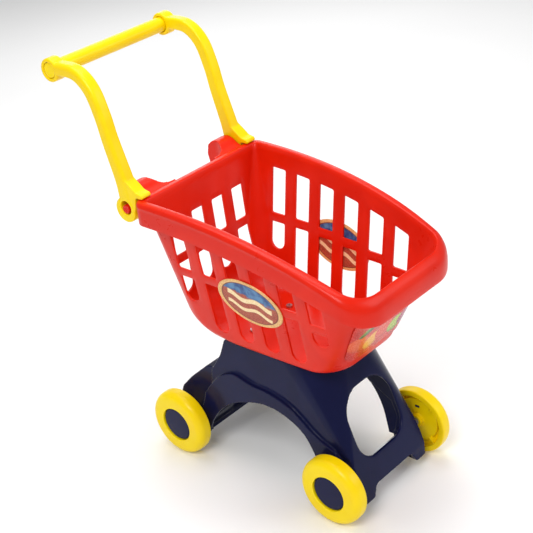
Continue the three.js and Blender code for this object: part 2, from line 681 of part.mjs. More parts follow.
// ---- assembly ----
const cart = new THREE.Group();
cart.add(meshFrom("basket", basket(), RED));
cart.add(meshFrom("chassis", chassis(), NAVY));
cart.add(meshFrom("front_label", frontLabel(), PRINT));
cart.add(meshFrom("handle_grip", handleGrip().translate([0, UPPER_EYE.y, UPPER_EYE.z]), YELLOW));
for (const place of screwPlaces()) {
  cart.add(meshFrom(place.name, basketScrew(place), steel));
}
for (const { name, sign } of SIDES) {
  cart.add(meshFrom(`badge_${name}`, badge(sign), PRINT));
  cart.add(meshFrom(`handle_arm_${name}`, handleArm(sign), YELLOW));
  const plug = meshFrom(`grip_plug_${name}`, gripPlug(), YELLOW);
  plug.position.set(0, UPPER_EYE.y, UPPER_EYE.z);
  plug.rotation.z = sign > 0 ? 0 : Math.PI;
  cart.add(plug);
}
for (const { name: end, y } of AXLES) {
  const axle = turnedX(rodProfile(AXLE_RADIUS, -AXLE_HALF_LENGTH, AXLE_HALF_LENGTH), 20);
  cart.add(meshFrom(`axle_${end}`, axle.translate([0, y, WHEEL_RADIUS]), steel));
  for (const { name: side, sign } of SIDES) {
    const station = new THREE.Group();
    station.position.set(0, y, WHEEL_RADIUS);
    station.rotation.z = sign > 0 ? 0 : Math.PI;
    station.add(meshFrom(`wheel_${end}_${side}`, wheel(), YELLOW));
    station.add(meshFrom(`hub_cap_${end}_${side}`, hubCap(), NAVY));
    station.add(meshFrom(`push_nut_${end}_${side}`, pushNut(), steel));
    station.add(meshFrom(`axle_spacer_${end}_${side}`, axleSpacer(), GREY));
    cart.add(station);
  }
}

export default cart;
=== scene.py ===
"""A toy shopping cart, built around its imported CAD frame.

Lengths are millimetres up to the point where a mesh is made, and +Z is up. The cart's front faces -Y.
"""

import math

import bmesh
import bpy
import numpy as np
from mathutils import Matrix, Vector
from mathutils.kdtree import KDTree


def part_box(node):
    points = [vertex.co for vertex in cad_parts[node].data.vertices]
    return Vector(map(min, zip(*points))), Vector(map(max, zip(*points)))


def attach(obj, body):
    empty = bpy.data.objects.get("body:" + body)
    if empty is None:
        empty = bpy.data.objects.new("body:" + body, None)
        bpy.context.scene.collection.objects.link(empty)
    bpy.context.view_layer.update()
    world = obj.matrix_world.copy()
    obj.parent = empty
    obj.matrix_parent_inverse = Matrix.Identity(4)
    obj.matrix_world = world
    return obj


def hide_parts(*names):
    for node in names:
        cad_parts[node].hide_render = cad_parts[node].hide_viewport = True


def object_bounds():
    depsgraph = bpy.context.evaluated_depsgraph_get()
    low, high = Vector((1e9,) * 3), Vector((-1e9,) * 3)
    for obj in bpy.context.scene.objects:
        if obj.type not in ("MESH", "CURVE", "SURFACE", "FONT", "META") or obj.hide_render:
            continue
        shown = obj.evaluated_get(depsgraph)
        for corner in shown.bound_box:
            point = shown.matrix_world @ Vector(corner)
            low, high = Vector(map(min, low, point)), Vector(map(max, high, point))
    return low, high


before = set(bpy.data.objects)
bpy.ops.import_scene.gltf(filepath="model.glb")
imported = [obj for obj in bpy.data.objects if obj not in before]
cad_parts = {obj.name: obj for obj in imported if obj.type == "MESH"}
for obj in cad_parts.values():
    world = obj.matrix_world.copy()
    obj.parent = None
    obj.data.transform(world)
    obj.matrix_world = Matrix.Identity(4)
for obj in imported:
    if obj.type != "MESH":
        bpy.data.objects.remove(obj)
cad_low, cad_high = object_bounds()

MM = 0.001
SIDES = {"left": 1, "right": -1}
ENDS = ("front", "rear")

# ---- the basket's driving dimensions, as in the CAD ----
RIM = {"front": -234, "rear": 96, "front_half": 94, "rear_half": 111.7, "bulge_half": 111, "bulge_y": -110,
       "front_corner": 42, "rear_corner": 13}
BASE = {"front": -165, "rear": 75, "front_half": 67, "rear_half": 73, "bulge_half": 73, "bulge_y": -60,
        "front_corner": 40, "rear_corner": 40}
RIM_WIDTH = 12
WALL = 2.6
FLOOR_Z = 187
FLOOR_INSET = {"front": 12, "rear": 48, "side": 8}
FLOOR_MIDDLE_Y = -65
CREST_REAR_Z = 375.5
CREST_DROP = 62
CREST_POWER = 2.25
CREST_FLAT_Y = 80

SLOT_WIDTH = 22
SLOT_TOP_DROP = 26
BAND = 11.5
SMALL_CORNER = 2
SLOT_EDGE = 0.55
SIDE_SLOTS = [
    {"at": -157, "upper": 267, "lower": 237},
    {"at": -118, "upper": 277, "lower": 200},
    {"at": -78, "upper": 283, "lower": 201},
    {"at": -38.5, "upper": 286, "lower": 203},
    {"at": 1, "upper": 288, "lower": 205},
    {"at": 41, "upper": 288, "lower": 240},
]
REAR_SLOTS = [{"at": x, "upper": 285, "lower": 232} for x in (55.5, 18.5)]
REAR_SLOT_WIDTH = 20
REAR_SLOT_TOP = 331

# ---- the other pieces' driving dimensions ----
PEG = {"y": 116.5, "z": 356.5, "radius": 5.6, "end": 103.4}
EAR = {"inner": 63, "outer": 85.5, "wall": 3, "fillet": 24}
# an arm widens towards its foot: by how much, and over which share of its length
ARM = {"inner": 87, "outer": 104, "half": 8, "back_flare": (2, 0.2), "front_flare": (5, 0.42)}
LOWER_EYE = {"y": 117.5, "z": 355.5, "radius": 16.5, "hole_y": 115.6, "hole_z": 359, "hole_radius": 9}
UPPER_EYE = {"y": 219, "z": 517.5, "radius": 15, "outer": 103.5}
GRIP = {"radius": 9.75, "bore": 7.6, "half": 101, "play": 0.55}
EYE_EDGE = 2.2
DECK_Z = 186.7
CHASSIS = {"skin": 4, "saddle_half": 65, "band_inner": 58, "band_outer": 70, "block_half": 62}
WINDOW = {"half": 44, "low": 61, "high": 145, "low_corner": 26, "high_corner": 36}
REAR_WINDOW = {"half": 34, "low": 54, "high": 98, "low_corner": 14, "high_corner": 18}
FRONT_PANEL = {"y": -135, "z": 185, "lean": 0.386, "trim_y": -154}
FRONT_CORNER = {"radius": 54.332, "z": 185, "taper": 0.43146, "least": 4}
AXLE_BOSS = {"radius": 8, "inner": 44, "outer": 68, "hole": 3.5}
SCREW_SOCKET = {"radius": 5, "deep": 16, "under": 1}
WHEEL = {"radius": 45, "outer": 100, "inner": 80, "web_outer": 90, "pocket": 23.6, "bore": 3.3}
# how far "out" from the axle the ribs and the tabs stand
RIB = {"x": 87.8, "out": 33, "size": (9, 11, 2), "turns": (45, 135, 225, 315)}
TAB = {"out": 19.5, "inner": 86.5, "size": (6.2, 2.6), "slot": (7, 3.4)}
CAP = {"face": 98.4, "play": 0.35, "back": 90.3, "wall": 1.8}
BADGE = {"y": -59, "z": 270, "long": 48.5, "short": 30, "tilt": 8, "back": 0.7}
LABEL = {"reach": 0.2, "low": 0.17, "high": 0.7, "back": 0.7, "thick": 0.8, "corner": 0.16}

# ---- the camera and the stage ----
CAMERA = {"place": (-1014.8, -982.8, 1025.8), "heading": 46.22, "down": 28.42, "roll": -5.93, "lens": 86.9}
# each softbox's place and size in metres, and its power in watts
LIGHTS = {
    "key": ((-1.5, -0.7, 1.9), (0.9, 0.9), 26),
    "fill": ((0.9, -1.7, 1.2), (1.2, 0.9), 10),
    "top": ((0.2, 0.3, 2.2), (1.4, 1.4), 24),
    "back": ((1.4, 1.3, 1.1), (1.2, 0.9), 8),
}
WORLD_STRENGTH = 0.4
FLOOR_HALF = 30000


# ---- curves and outlines ----

def smoothstep(value, low, high):
    t = np.clip((value - low) / (high - low), 0, 1)
    return t * t * (3 - 2 * t)


def quadratic(a, b, c, t):
    t = np.asarray(t, float)[..., None]
    return (1 - t) ** 2 * a + 2 * t * (1 - t) * b + t**2 * c


def cubic(a, b, c, d, t):
    t = np.asarray(t, float)[..., None]
    return (1 - t) ** 3 * a + 3 * t * (1 - t) ** 2 * b + 3 * t**2 * (1 - t) * c + t**3 * d


def spline(points, count):
    """A Catmull-Rom curve through the points, as count + 1 points along it."""
    points = np.asarray(points, float)
    last = len(points) - 1
    made = []
    for share in np.linspace(0, last, count + 1):
        i = min(int(share), last - 1)
        t = share - i
        a, b, c, d = (points[min(max(k, 0), last)] for k in range(i - 1, i + 3))
        made.append(0.5 * (2 * b + (c - a) * t + (2 * a - 5 * b + 4 * c - d) * t**2
                           + (3 * b - a - 3 * c + d) * t**3))
    return np.array(made)


def filleted(corners, steps=6):
    """A closed outline from corners of (a, b, radius), each turned with an arc of its radius."""
    count = len(corners)
    made = []
    for i, (a, b, radius) in enumerate(corners):
        tip = np.array([a, b], float)
        before = np.array(corners[i - 1][:2], float) - tip
        after = np.array(corners[(i + 1) % count][:2], float) - tip
        if radius <= 0:
            made.append(tip)
            continue
        u, v = before / np.linalg.norm(before), after / np.linalg.norm(after)
        half = math.acos(max(-1, min(1, float(u @ v)))) / 2
        if half > math.radians(89):
            made.append(tip)
            continue
        middle = (u + v) / np.linalg.norm(u + v)
        centre = tip + middle * radius / math.sin(half)
        start, end = tip + u * radius / math.tan(half), tip + v * radius / math.tan(half)
        from_angle = math.atan2(*(start - centre)[::-1])
        turn = math.atan2(*(end - centre)[::-1]) - from_angle
        turn = (turn + math.pi) % (2 * math.pi) - math.pi
        for k in range(steps + 1):
            angle = from_angle + turn * k / steps
            made.append(centre + radius * np.array([math.cos(angle), math.sin(angle)]))
    return np.array(made)


def circle(a, b, radius, count=48):
    angles = np.linspace(0, 2 * math.pi, count, endpoint=False)
    return np.stack([a + radius * np.cos(angles), b + radius * np.sin(angles)], 1)


# ---- meshes ----

def placed(name, data):
    """A new object of the scene, for a mesh, a light or a camera."""
    made = bpy.data.objects.new(name, data)
    bpy.context.scene.collection.objects.link(made)
    return made


def piece(name, points, faces, material=None, sharp=40):
    """A new object from points in millimetres, smooth-shaded up to an angle in degrees."""
    mesh = bpy.data.meshes.new(name)
    mesh.from_pydata((np.asarray(points, float) * MM).tolist(), [], faces)
    bm = bmesh.new()
    bm.from_mesh(mesh)
    bmesh.ops.remove_doubles(bm, verts=bm.verts, dist=1e-3 * MM)
    bmesh.ops.recalc_face_normals(bm, faces=bm.faces)
    bm.to_mesh(mesh)
    bm.free()
    made = placed(name, mesh)
    shade(made, sharp)
    if material:
        mesh.materials.append(material)
    return made


def shade(made, sharp):
    made.data.shade_smooth()
    made.data.set_sharp_from_angle(angle=math.radians(sharp))


def loft(rings):
    """Points and faces of a closed body through rings of equal length."""
    count = len(rings[0])
    faces = []
    for r in range(len(rings) - 1):
        for i in range(count):
            a, b = r * count + i, r * count + (i + 1) % count
            faces.append((a, b, b + count, a + count))
    faces.append(tuple(reversed(range(count))))
    faces.append(tuple(range((len(rings) - 1) * count, len(rings) * count)))
    return np.concatenate(rings), faces


def prism(name, outline, low, high, axis):
    """An outline drawn square to an axis, extruded along it from low to high."""
    def ring(at):
        level = np.full(len(outline), at, float)
        columns = {"x": (level, outline[:, 0], outline[:, 1]),
                   "y": (outline[:, 0], level, outline[:, 1]),
                   "z": (outline[:, 0], outline[:, 1], level)}[axis]
        return np.stack(columns, 1)
    outline = np.asarray(outline, float)
    return piece(name, *loft([ring(low), ring(high)]))


def side_prism(name, sign, outline, inner, outer):
    return prism(name, outline, min(sign * inner, sign * outer), max(sign * inner, sign * outer), "x")


def turned(profile, segments=96):
    """Points and faces of a profile of (radius, x) turned round the X axis."""
    angles = np.linspace(0, 2 * math.pi, segments, endpoint=False)
    rings = [np.stack([profile[:, 1], profile[:, 0] * math.cos(a), profile[:, 0] * math.sin(a)], 1)
             for a in angles]
    count = len(profile)
    faces = []
    for r in range(segments):
        for i in range(count):
            j = (i + 1) % count
            if profile[i, 0] < 1e-6 and profile[j, 0] < 1e-6:
                continue
            a, b = r * count, (r + 1) % segments * count
            faces.append((a + i, a + j, b + j, b + i))
    return np.concatenate(rings), faces


def joined(name, parts):
    """One object with the meshes of all parts, in place."""
    bm = bmesh.new()
    for part in parts:
        part.data.transform(part.matrix_world)
        bm.from_mesh(part.data)
    mesh = bpy.data.meshes.new(name)
    bm.to_mesh(mesh)
    bm.free()
    for part in parts:
        discard(part)
    return placed(name, mesh)


def discard(made):
    mesh = made.data
    bpy.data.objects.remove(made)
    bpy.data.meshes.remove(mesh)


def settle(made):
    """Applies the modifiers, so that the mesh is what they show."""
    graph = bpy.context.evaluated_depsgraph_get()
    graph.update()
    mesh = bpy.data.meshes.new_from_object(made.evaluated_get(graph))
    old = made.data
    made.modifiers.clear()
    made.data = mesh
    bpy.data.meshes.remove(old)
    return made


def combine(body, operation, *tools):
    """body with the tools taken out (DIFFERENCE), added (UNION) or kept in common (INTERSECT)."""
    for tool in tools:
        modifier = body.modifiers.new("combine", "BOOLEAN")
        modifier.operation = operation
        modifier.object = tool
        modifier.solver = "MANIFOLD"
    settle(body)
    for tool in tools:
        discard(tool)
    return body


def moulded(made, voxel, smoothing, keep):
    """Turns a body into one even skin with softly rounded edges, and keeps a share of its triangles."""
    remesh = made.modifiers.new("remesh", "REMESH")
    remesh.mode = "VOXEL"
    remesh.voxel_size = voxel * MM
    smooth = made.modifiers.new("smooth", "SMOOTH")
    smooth.factor = 0.5
    smooth.iterations = smoothing
    reduce = made.modifiers.new("reduce", "DECIMATE")
    reduce.ratio = keep
    settle(made)
    shade(made, 60)
    return made


def paint(made, material):
    made.data.materials.clear()
    made.data.materials.append(material)
    return made


def hand_in(made, body, node):
    """made moves with the body and stands for the CAD node, which it hides."""
    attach(made, body)
    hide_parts(node)


def middle_of(node):
    """The middle of a CAD node's box, in millimetres."""
    return [(a + b) / 2 / MM for a, b in zip(*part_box(node))]


# ---- materials ----

def linear(red, green, blue):
    """A colour given as 0 to 255 on a screen, for a shader."""
    def channel(value):
        share = value / 255
        return share / 12.92 if share <= 0.04045 else ((share + 0.055) / 1.055) ** 2.4
    return (channel(red), channel(green), channel(blue), 1)


class Finish:
    """A material in the making: its nodes, and where on the piece (in object space) they look."""

    def __init__(self, name):
        self.material = bpy.data.materials.new(name)
        self.material.use_nodes = True
        self.tree = self.material.node_tree
        self.tree.nodes.clear()
        self.where = self.node("ShaderNodeTexCoord").outputs["Object"]

    def node(self, kind, inputs=None, **settings):
        """A node with its settings; each input takes a plain value or another node's output."""
        made = self.tree.nodes.new(kind)
        for key, value in settings.items():
            setattr(made, key, value)
        for key, value in (inputs or {}).items():
            if isinstance(value, bpy.types.NodeSocket):
                self.tree.links.new(value, made.inputs[key])
            else:
                made.inputs[key].default_value = value
        return made

    def calc(self, operation, a, b=0.0):
        return self.node("ShaderNodeMath", {0: a, 1: b}, operation=operation).outputs[0]

    def add(self, a, b):
        return self.calc("ADD", a, b)

    def less(self, a, b):
        return self.calc("SUBTRACT", a, b)

    def times(self, a, b):
        return self.calc("MULTIPLY", a, b)

    def ramp(self, value, low, high, to_low=0, to_high=1):
        """A smooth way from to_low, where the value is low, to to_high, where it is high."""
        ends = {"From Min": low, "From Max": high, "To Min": to_low, "To Max": to_high}
        made = self.node("ShaderNodeMapRange", {"Value": value, **ends}, interpolation_type="SMOOTHSTEP")
        return made.outputs["Result"]

    def blend(self, share, a, b):
        return self.node("ShaderNodeMix", {0: share, 6: a, 7: b}, data_type="RGBA").outputs[2]

    def noise(self, scale, detail=2.0, distortion=0.0, where=None):
        inputs = {"Vector": where or self.where, "Scale": scale, "Detail": detail, "Distortion": distortion}
        return self.node("ShaderNodeTexNoise", inputs).outputs["Fac"]

    def ragged(self, pattern):
        """A pattern of noise turned into an offset of up to a quarter either way."""
        return self.times(self.less(pattern, 0.5), 0.5)

    def bumps(self, *heights):
        """A normal from several (height, distance in mm, strength), one laid over the other."""
        normal = {}
        for height, distance, strength in heights:
            inputs = {"Height": height, "Distance": distance * MM, "Strength": strength}
            normal = {"Normal": self.node("ShaderNodeBump", {**inputs, **normal}).outputs["Normal"]}
        return normal["Normal"]

    def print_place(self):
        """The two coordinates on a printed plate, each from -1 to 1."""
        layer = self.node("ShaderNodeUVMap", uv_map="print").outputs["UV"]
        split = self.node("ShaderNodeSeparateXYZ", {"Vector": layer})
        return split.outputs["X"], split.outputs["Y"]

    def done(self, **inputs):
        """The material, its shader given these inputs, with _ for a space in their names."""
        named = {key.replace("_", " "): value for key, value in inputs.items()}
        shader = self.node("ShaderNodeBsdfPrincipled", named)
        self.node("ShaderNodeOutputMaterial", {"Surface": shader.outputs["BSDF"]})
        return self.material


def plastic(name, colour, deep, worn, roughness, gloss):
    """Injection-moulded plastic: faint flow mottling, a fine skin grain, scuffs and paler worn edges."""
    f = Finish(name)
    edges = f.node("ShaderNodeNewGeometry").outputs["Pointiness"]
    flow = f.noise(14, 3, 0.6)
    skin = f.noise(1500, 1)
    waves = f.noise(45, 1)
    scuffs = f.noise(110, 3, 1.2)
    body = f.blend(f.ramp(flow, 0.35, 0.68), linear(*deep), linear(*colour))
    chafed = f.times(f.ramp(edges, 0.55, 0.64, 0, 0.5), f.ramp(scuffs, 0.4, 0.62, 0.25, 1))
    return f.done(
        Base_Color=f.blend(chafed, body, linear(*worn)),
        Roughness=f.add(f.ramp(scuffs, 0.35, 0.75, roughness - 0.03, roughness + 0.05),
                        f.ramp(flow, 0.3, 0.7, -0.02, 0.03)),
        Normal=f.bumps((skin, 0.02, 0.1), (waves, 0.3, 0.2)),
        IOR=1.49, Specular_IOR_Level=gloss, Coat_Weight=0.05, Coat_Roughness=0.1)


def steel(name, colour, roughness, brushing):
    """Drawn or plated steel: fine lines, and a few darker marks."""
    f = Finish(name)
    stretched = f.node("ShaderNodeMapping", {"Vector": f.where, "Scale": brushing}).outputs["Vector"]
    lines = f.noise(900, 3, where=stretched)
    marks = f.noise(160, 4, 0.8)
    bright = linear(*colour)
    dark = tuple(0.55 * c for c in bright[:3]) + (1,)
    return f.done(
        Base_Color=f.blend(f.ramp(marks, 0.5, 0.72, 0, 0.5), bright, dark),
        Roughness=f.ramp(lines, 0.3, 0.7, roughness - 0.06, roughness + 0.1),
        Normal=f.bumps((lines, 0.03, 0.3)), Metallic=1)


def inside_ellipse(f, u, v, centre, half, turn, soft, wobble=0.0):
    """1 inside an ellipse drawn in (u, v), 0 outside, with an edge soft wide."""
    cosine, sine = math.cos(math.radians(turn)), math.sin(math.radians(turn))
    across, up = f.less(u, centre[0]), f.less(v, centre[1])
    along = f.add(f.times(across, cosine / half[0]), f.times(up, sine / half[0]))
    beside = f.less(f.times(up, cosine / half[1]), f.times(across, sine / half[1]))
    reach = f.add(f.add(f.times(along, along), f.times(beside, beside)), wobble)
    return f.ramp(reach, 1 - soft, 1 + soft, 1, 0)


def badge_print():
    """A printed oval: gold edge, clay field, a ragged blue sky and two cream ribbons. No lettering."""
    f = Finish("printed_badge")
    u, v = f.print_place()
    coarse, fine = f.noise(90, 4, 0.5), f.noise(700, 3)
    clay = f.blend(f.ramp(fine, 0.35, 0.65), linear(150, 60, 44), linear(186, 92, 66))
    sky = f.blend(f.ramp(coarse, 0.35, 0.65), linear(36, 70, 128), linear(84, 132, 176))
    picture = f.blend(f.ramp(f.add(v, f.ragged(coarse)), 0.24, 0.34), clay, sky)
    cream = f.blend(f.ramp(fine, 0.4, 0.6), linear(238, 206, 150), linear(250, 228, 182))
    ends = f.ramp(f.calc("ABSOLUTE", u), 0.66, 0.7, 1, 0)
    waving = f.add(v, f.times(f.calc("SINE", f.times(u, 7.5)), 0.09))
    for level, half in ((0.1, 0.115), (-0.36, 0.085)):
        offset = f.calc("ABSOLUTE", f.less(waving, level))
        ribbon = f.ramp(offset, half - 0.02, half + 0.02, 1, 0)
        picture = f.blend(f.times(ribbon, ends), picture, cream)
    reach = f.calc("SQRT", f.add(f.times(u, u), f.times(v, v)))
    picture = f.blend(f.ramp(reach, 0.84, 0.86), picture, linear(120, 52, 34))
    gold = f.blend(f.ramp(fine, 0.35, 0.65), linear(214, 160, 92), linear(240, 196, 132))
    return f.done(
        Base_Color=f.blend(f.ramp(reach, 0.875, 0.89), picture, gold),
        Roughness=f.ramp(fine, 0.3, 0.7, 0.3, 0.42),
        Normal=f.bumps((fine, 0.03, 0.2)), Specular_IOR_Level=0.35, Coat_Weight=0.1)


# centre, half sizes, turn and two colours of each fruit or leaf on the front label
FRUIT = [
    ((-0.72, -0.25), (0.3, 0.42), 20, (196, 44, 26), (228, 92, 40)),
    ((-0.34, -0.42), (0.26, 0.36), -14, (206, 120, 24), (240, 170, 40)),
    ((0.05, -0.3), (0.3, 0.44), 8, (186, 30, 22), (226, 70, 36)),
    ((0.44, -0.42), (0.24, 0.36), 0, (112, 138, 32), (170, 190, 62)),
    ((0.78, -0.2), (0.24, 0.44), -18, (120, 34, 64), (168, 66, 98)),
    ((-0.5, 0.32), (0.34, 0.13), 32, (58, 92, 30), (112, 146, 52)),
    ((-0.1, 0.4), (0.34, 0.12), -24, (48, 84, 32), (104, 140, 48)),
    ((0.34, 0.3), (0.36, 0.13), 26, (62, 96, 30), (120, 150, 54)),
    ((0.7, 0.48), (0.22, 0.16), -30, (214, 150, 44), (240, 190, 80)),
]


def label_print():
    """The printed film on the front wall: generic fruit and leaves on red."""
    f = Finish("printed_label")
    u, v = f.print_place()
    coarse, fine = f.noise(60, 3, 0.4), f.noise(500, 3)
    wobble = f.ragged(coarse)
    picture = f.blend(f.ramp(coarse, 0.35, 0.65), linear(190, 20, 6), linear(216, 34, 12))
    for centre, half, turn, dark, pale in FRUIT:
        shape = inside_ellipse(f, u, v, centre, half, turn, 0.08, wobble)
        glow = inside_ellipse(f, u, v, (centre[0] - 0.05, centre[1] + 0.12), half, turn, 0.9)
        picture = f.blend(shape, picture, f.blend(glow, linear(*dark), linear(*pale)))
    return f.done(
        Base_Color=picture, Roughness=f.ramp(fine, 0.3, 0.7, 0.2, 0.3),
        Normal=f.bumps((coarse, 0.1, 0.1)), Specular_IOR_Level=0.35, Coat_Weight=0.1)


# name, colour, its deeper and its worn shade, roughness, gloss
RED = plastic("red_plastic", (224, 34, 6), (215, 29, 4), (232, 60, 30), 0.32, 0.22)
NAVY = plastic("navy_plastic", (20, 24, 62), (17, 20, 54), (38, 43, 84), 0.17, 0.12)
YELLOW = plastic("yellow_plastic", (250, 220, 0), (247, 211, 0), (253, 228, 20), 0.34, 0.24)
GREY = plastic("spacer_plastic", (92, 94, 97), (78, 80, 84), (140, 142, 146), 0.5, 0.4)
ZINC = steel("zinc_steel", (205, 207, 210), 0.32, (1, 1, 1))
WIRE = steel("axle_steel", (190, 192, 196), 0.28, (0.05, 1, 1))
BADGE_PRINT = badge_print()
LABEL_PRINT = label_print()


# ---- the basket's surface ----

# where each stretch of the half outline ends, as a share of it: front, corner, side, corner, rear
BREAKS = (0.0, 0.12, 0.32, 0.72, 0.9, 1.0)
CORNER_PULL = 0.56


def shrunk(o, front, rear=None, side=None):
    """An outline drawn in at its front, rear and sides."""
    rear = front if rear is None else rear
    side = front if side is None else side
    return {**o, "front": o["front"] + front, "rear": o["rear"] - rear, "front_half": o["front_half"] - side,
            "rear_half": o["rear_half"] - side, "bulge_half": o["bulge_half"] - side,
            "front_corner": max(o["front_corner"] - min(front, side), 4),
            "rear_corner": max(o["rear_corner"] - min(rear, side), 4)}


def half_outline(o, shares):
    """Points of an outline's +X half: share 0 is the middle of the front, 1 the middle of the rear."""
    shares = np.atleast_1d(np.asarray(shares, float))
    ends = [np.array(p, float) for p in ((o["front_half"], o["front"]), (o["bulge_half"], o["bulge_y"]),
                                         (o["rear_half"], o["rear"]))]
    length = o["rear"] - o["front"]
    first, last = o["front_corner"] / length, 1 - o["rear_corner"] / length
    side_start, side_end = quadratic(*ends, first), quadratic(*ends, last)
    front_start = np.array([o["front_half"] - o["front_corner"], o["front"]], float)
    rear_end = np.array([o["rear_half"] - o["rear_corner"], o["rear"]], float)

    def corner(start, tip, end, t):
        return cubic(start, start + (tip - start) * CORNER_PULL, end + (tip - end) * CORNER_PULL, end, t)

    stretches = [
        lambda t: np.array([0, o["front"]]) + t[:, None] * np.array([front_start[0], 0]),
        lambda t: corner(front_start, ends[0], side_start, t),
        lambda t: quadratic(*ends, first + (last - first) * t),
        lambda t: corner(side_end, ends[2], rear_end, t),
        lambda t: rear_end + t[:, None] * np.array([-rear_end[0], 0]),
    ]
    made = np.zeros((len(shares), 2))
    for k, stretch in enumerate(stretches):
        inside = (shares >= BREAKS[k]) & (shares <= BREAKS[k + 1])
        made[inside] = stretch((shares[inside] - BREAKS[k]) / (BREAKS[k + 1] - BREAKS[k]))
    return made


def crest(y):
    """The height of the rim's top, level at the rear and falling faster and faster to the front."""
    run = np.maximum(0, (CREST_FLAT_Y - y) / (CREST_FLAT_Y - RIM["front"]))
    return CREST_REAR_Z - CREST_DROP * run**CREST_POWER


def rounding_height(y):
    """How high the turn from the floor into the wall reaches: a little more in front, much more behind."""
    return 8 + 26 * smoothstep(y, -10, 65) + 3 * (1 - smoothstep(y, -165, -120))


SAMPLES = np.linspace(0, 1, 601)


class Skin:
    """One face of the basket's wall: inset 0 is the outside and WALL the inside."""

    def __init__(self, inset):
        self.low = FLOOR_Z + inset
        self.base = shrunk(BASE, inset)
        self.top = shrunk(RIM, RIM_WIDTH - WALL + inset)
        self.floor = shrunk(self.base, FLOOR_INSET["front"], FLOOR_INSET["rear"], FLOOR_INSET["side"])
        self.samples = half_outline(self.base, SAMPLES), half_outline(self.top, SAMPLES)

    def lerped(self, bottom, top, z):
        level = (z - self.low) / (crest(top[:, 1]) - self.low)
        return bottom + (top - bottom) * np.asarray(level)[:, None]

    def at(self, share, z):
        """The point of the wall at a share of the outline and a height."""
        flat = self.lerped(half_outline(self.base, share), half_outline(self.top, share), z)[0]
        return np.array([flat[0], flat[1], z])

    def share_of(self, axis, target, z):
        """The share at which the wall, at height z, is at that y of the side or that x of the rear."""
        flat = self.lerped(*self.samples, z)
        if axis == "y":
            side = SAMPLES <= BREAKS[4]
            return float(np.interp(target, flat[side, 1], SAMPLES[side]))
        rear = SAMPLES >= (BREAKS[3] + BREAKS[4]) / 2 - 0.04
        return float(np.interp(target, flat[rear, 0][::-1], SAMPLES[rear][::-1]))

    def rounding(self, share, degrees):
        """A point of the turn between the floor, at 90 degrees, and the wall, at 0."""
        height = rounding_height(half_outline(self.base, share)[0, 1])
        angle = math.radians(degrees)
        z = self.low + height * (1 - math.sin(angle))
        inward = (half_outline(self.floor, share) - half_outline(self.base, share))[0]
        inward *= 1 - math.cos(angle)
        return self.at(share, z) + np.array([inward[0], inward[1], 0])

    def start_of_wall(self, share):
        return self.low + rounding_height(half_outline(self.base, share)[0, 1])


OUTER, INNER = Skin(0), Skin(WALL)

# how many rows of faces: under the slots, lower slots, band, upper slots, above them
ROWS = (5, 8, 2, 5, 4)
FRONT_COLUMNS = 30
CORNER_COLUMNS = 30
SLOT_COLUMNS = 14
RIB_COLUMNS = 3


def rounded_end(offset, half, radius):
    """How far a slot's end draws in at an offset from its middle, for corners of a radius."""
    into = max(0.0, abs(offset) - (half - radius))
    return radius - math.sqrt(max(0.0, radius**2 - into**2))


def slot_levels(slot, axis, across):
    """The heights of a slot's four ends at a place across it."""
    half = (SLOT_WIDTH if axis == "y" else REAR_SLOT_WIDTH) / 2
    offset = across - slot["at"]
    small = rounded_end(offset, half, SMALL_CORNER)
    top = crest(across) - SLOT_TOP_DROP if axis == "y" else REAR_SLOT_TOP
    return [slot["lower"] + rounded_end(offset, half, half), slot["upper"] - BAND - small,
            slot["upper"] + small, top - small]


def slot_columns():
    """The half wall's slot columns and ribs, as (axis, place, the four heights), and the slots' spans."""
    columns, spans = [], []
    walls = ("y", SIDE_SLOTS, SLOT_WIDTH, 1), ("x", REAR_SLOTS, REAR_SLOT_WIDTH, -1)
    for axis, slots, width, way in walls:
        stretch = []
        for i, slot in enumerate(slots):
            if i:
                start, end = stretch[-1], (axis, slot["at"] - way * width / 2)
                goal = slot_levels(slot, *end)
                for k in range(1, RIB_COLUMNS):
                    t = k / RIB_COLUMNS
                    levels = [a + (b - a) * t for a, b in zip(start[2], goal)]
                    stretch.append((axis, start[1] + (end[1] - start[1]) * t, levels))
            first = len(stretch)
            for k in range(SLOT_COLUMNS + 1):
                across = slot["at"] - way * width / 2 * math.cos(math.pi * k / SLOT_COLUMNS)
                stretch.append((axis, across, slot_levels(slot, axis, across)))
            spans.append((axis, first, len(stretch) - 1))
        columns.append(stretch)
    return columns, spans


def wall_columns(skin, side, rear):
    """The half wall's columns, each from the floor's rounding up to the rim, as shares and heights."""
    top_drop = WALL + 0.4 if skin is OUTER else 2.0

    def heights(axis, place, levels):
        share = skin.share_of(axis, place, 200)
        keys = [skin.start_of_wall(share), *levels]
        top = crest(place if axis == "y" else RIM["rear"]) - top_drop
        keys.append(top)
        return [a + (b - a) * k / count for a, b, count in zip(keys, keys[1:], ROWS)
                for k in range(count)] + [top]

    def solved(columns):
        grid = []
        for axis, place, levels in columns:
            column = heights(axis, place, levels)
            grid.append([(skin.share_of(axis, place, z), z) for z in column])
        return grid

    side_grid, rear_grid = solved(side), solved(rear)
    front_grid = []
    for c in range(FRONT_COLUMNS):
        column = []
        first, last = side_grid[0][0][1], side_grid[0][-1][1]
        for share_a, z_a in side_grid[0]:
            share = share_a * c / FRONT_COLUMNS
            start = skin.start_of_wall(share)
            top = crest(half_outline(skin.top, share)[0, 1]) - top_drop
            column.append((share, start + (top - start) * (z_a - first) / (last - first)))
        front_grid.append(column)
    corner_grid = []
    for c in range(1, CORNER_COLUMNS):
        t = c / CORNER_COLUMNS
        corner_grid.append([(a + (b - a) * t, z_a + (z_b - z_a) * t)
                            for (a, z_a), (b, z_b) in zip(side_grid[-1], rear_grid[0])])
    last = rear_grid[-1]
    middle_grid = [[(a + (1 - a) * t, z) for a, z in last] for t in (0.33, 0.67, 1)]
    return front_grid + side_grid + corner_grid + rear_grid + middle_grid


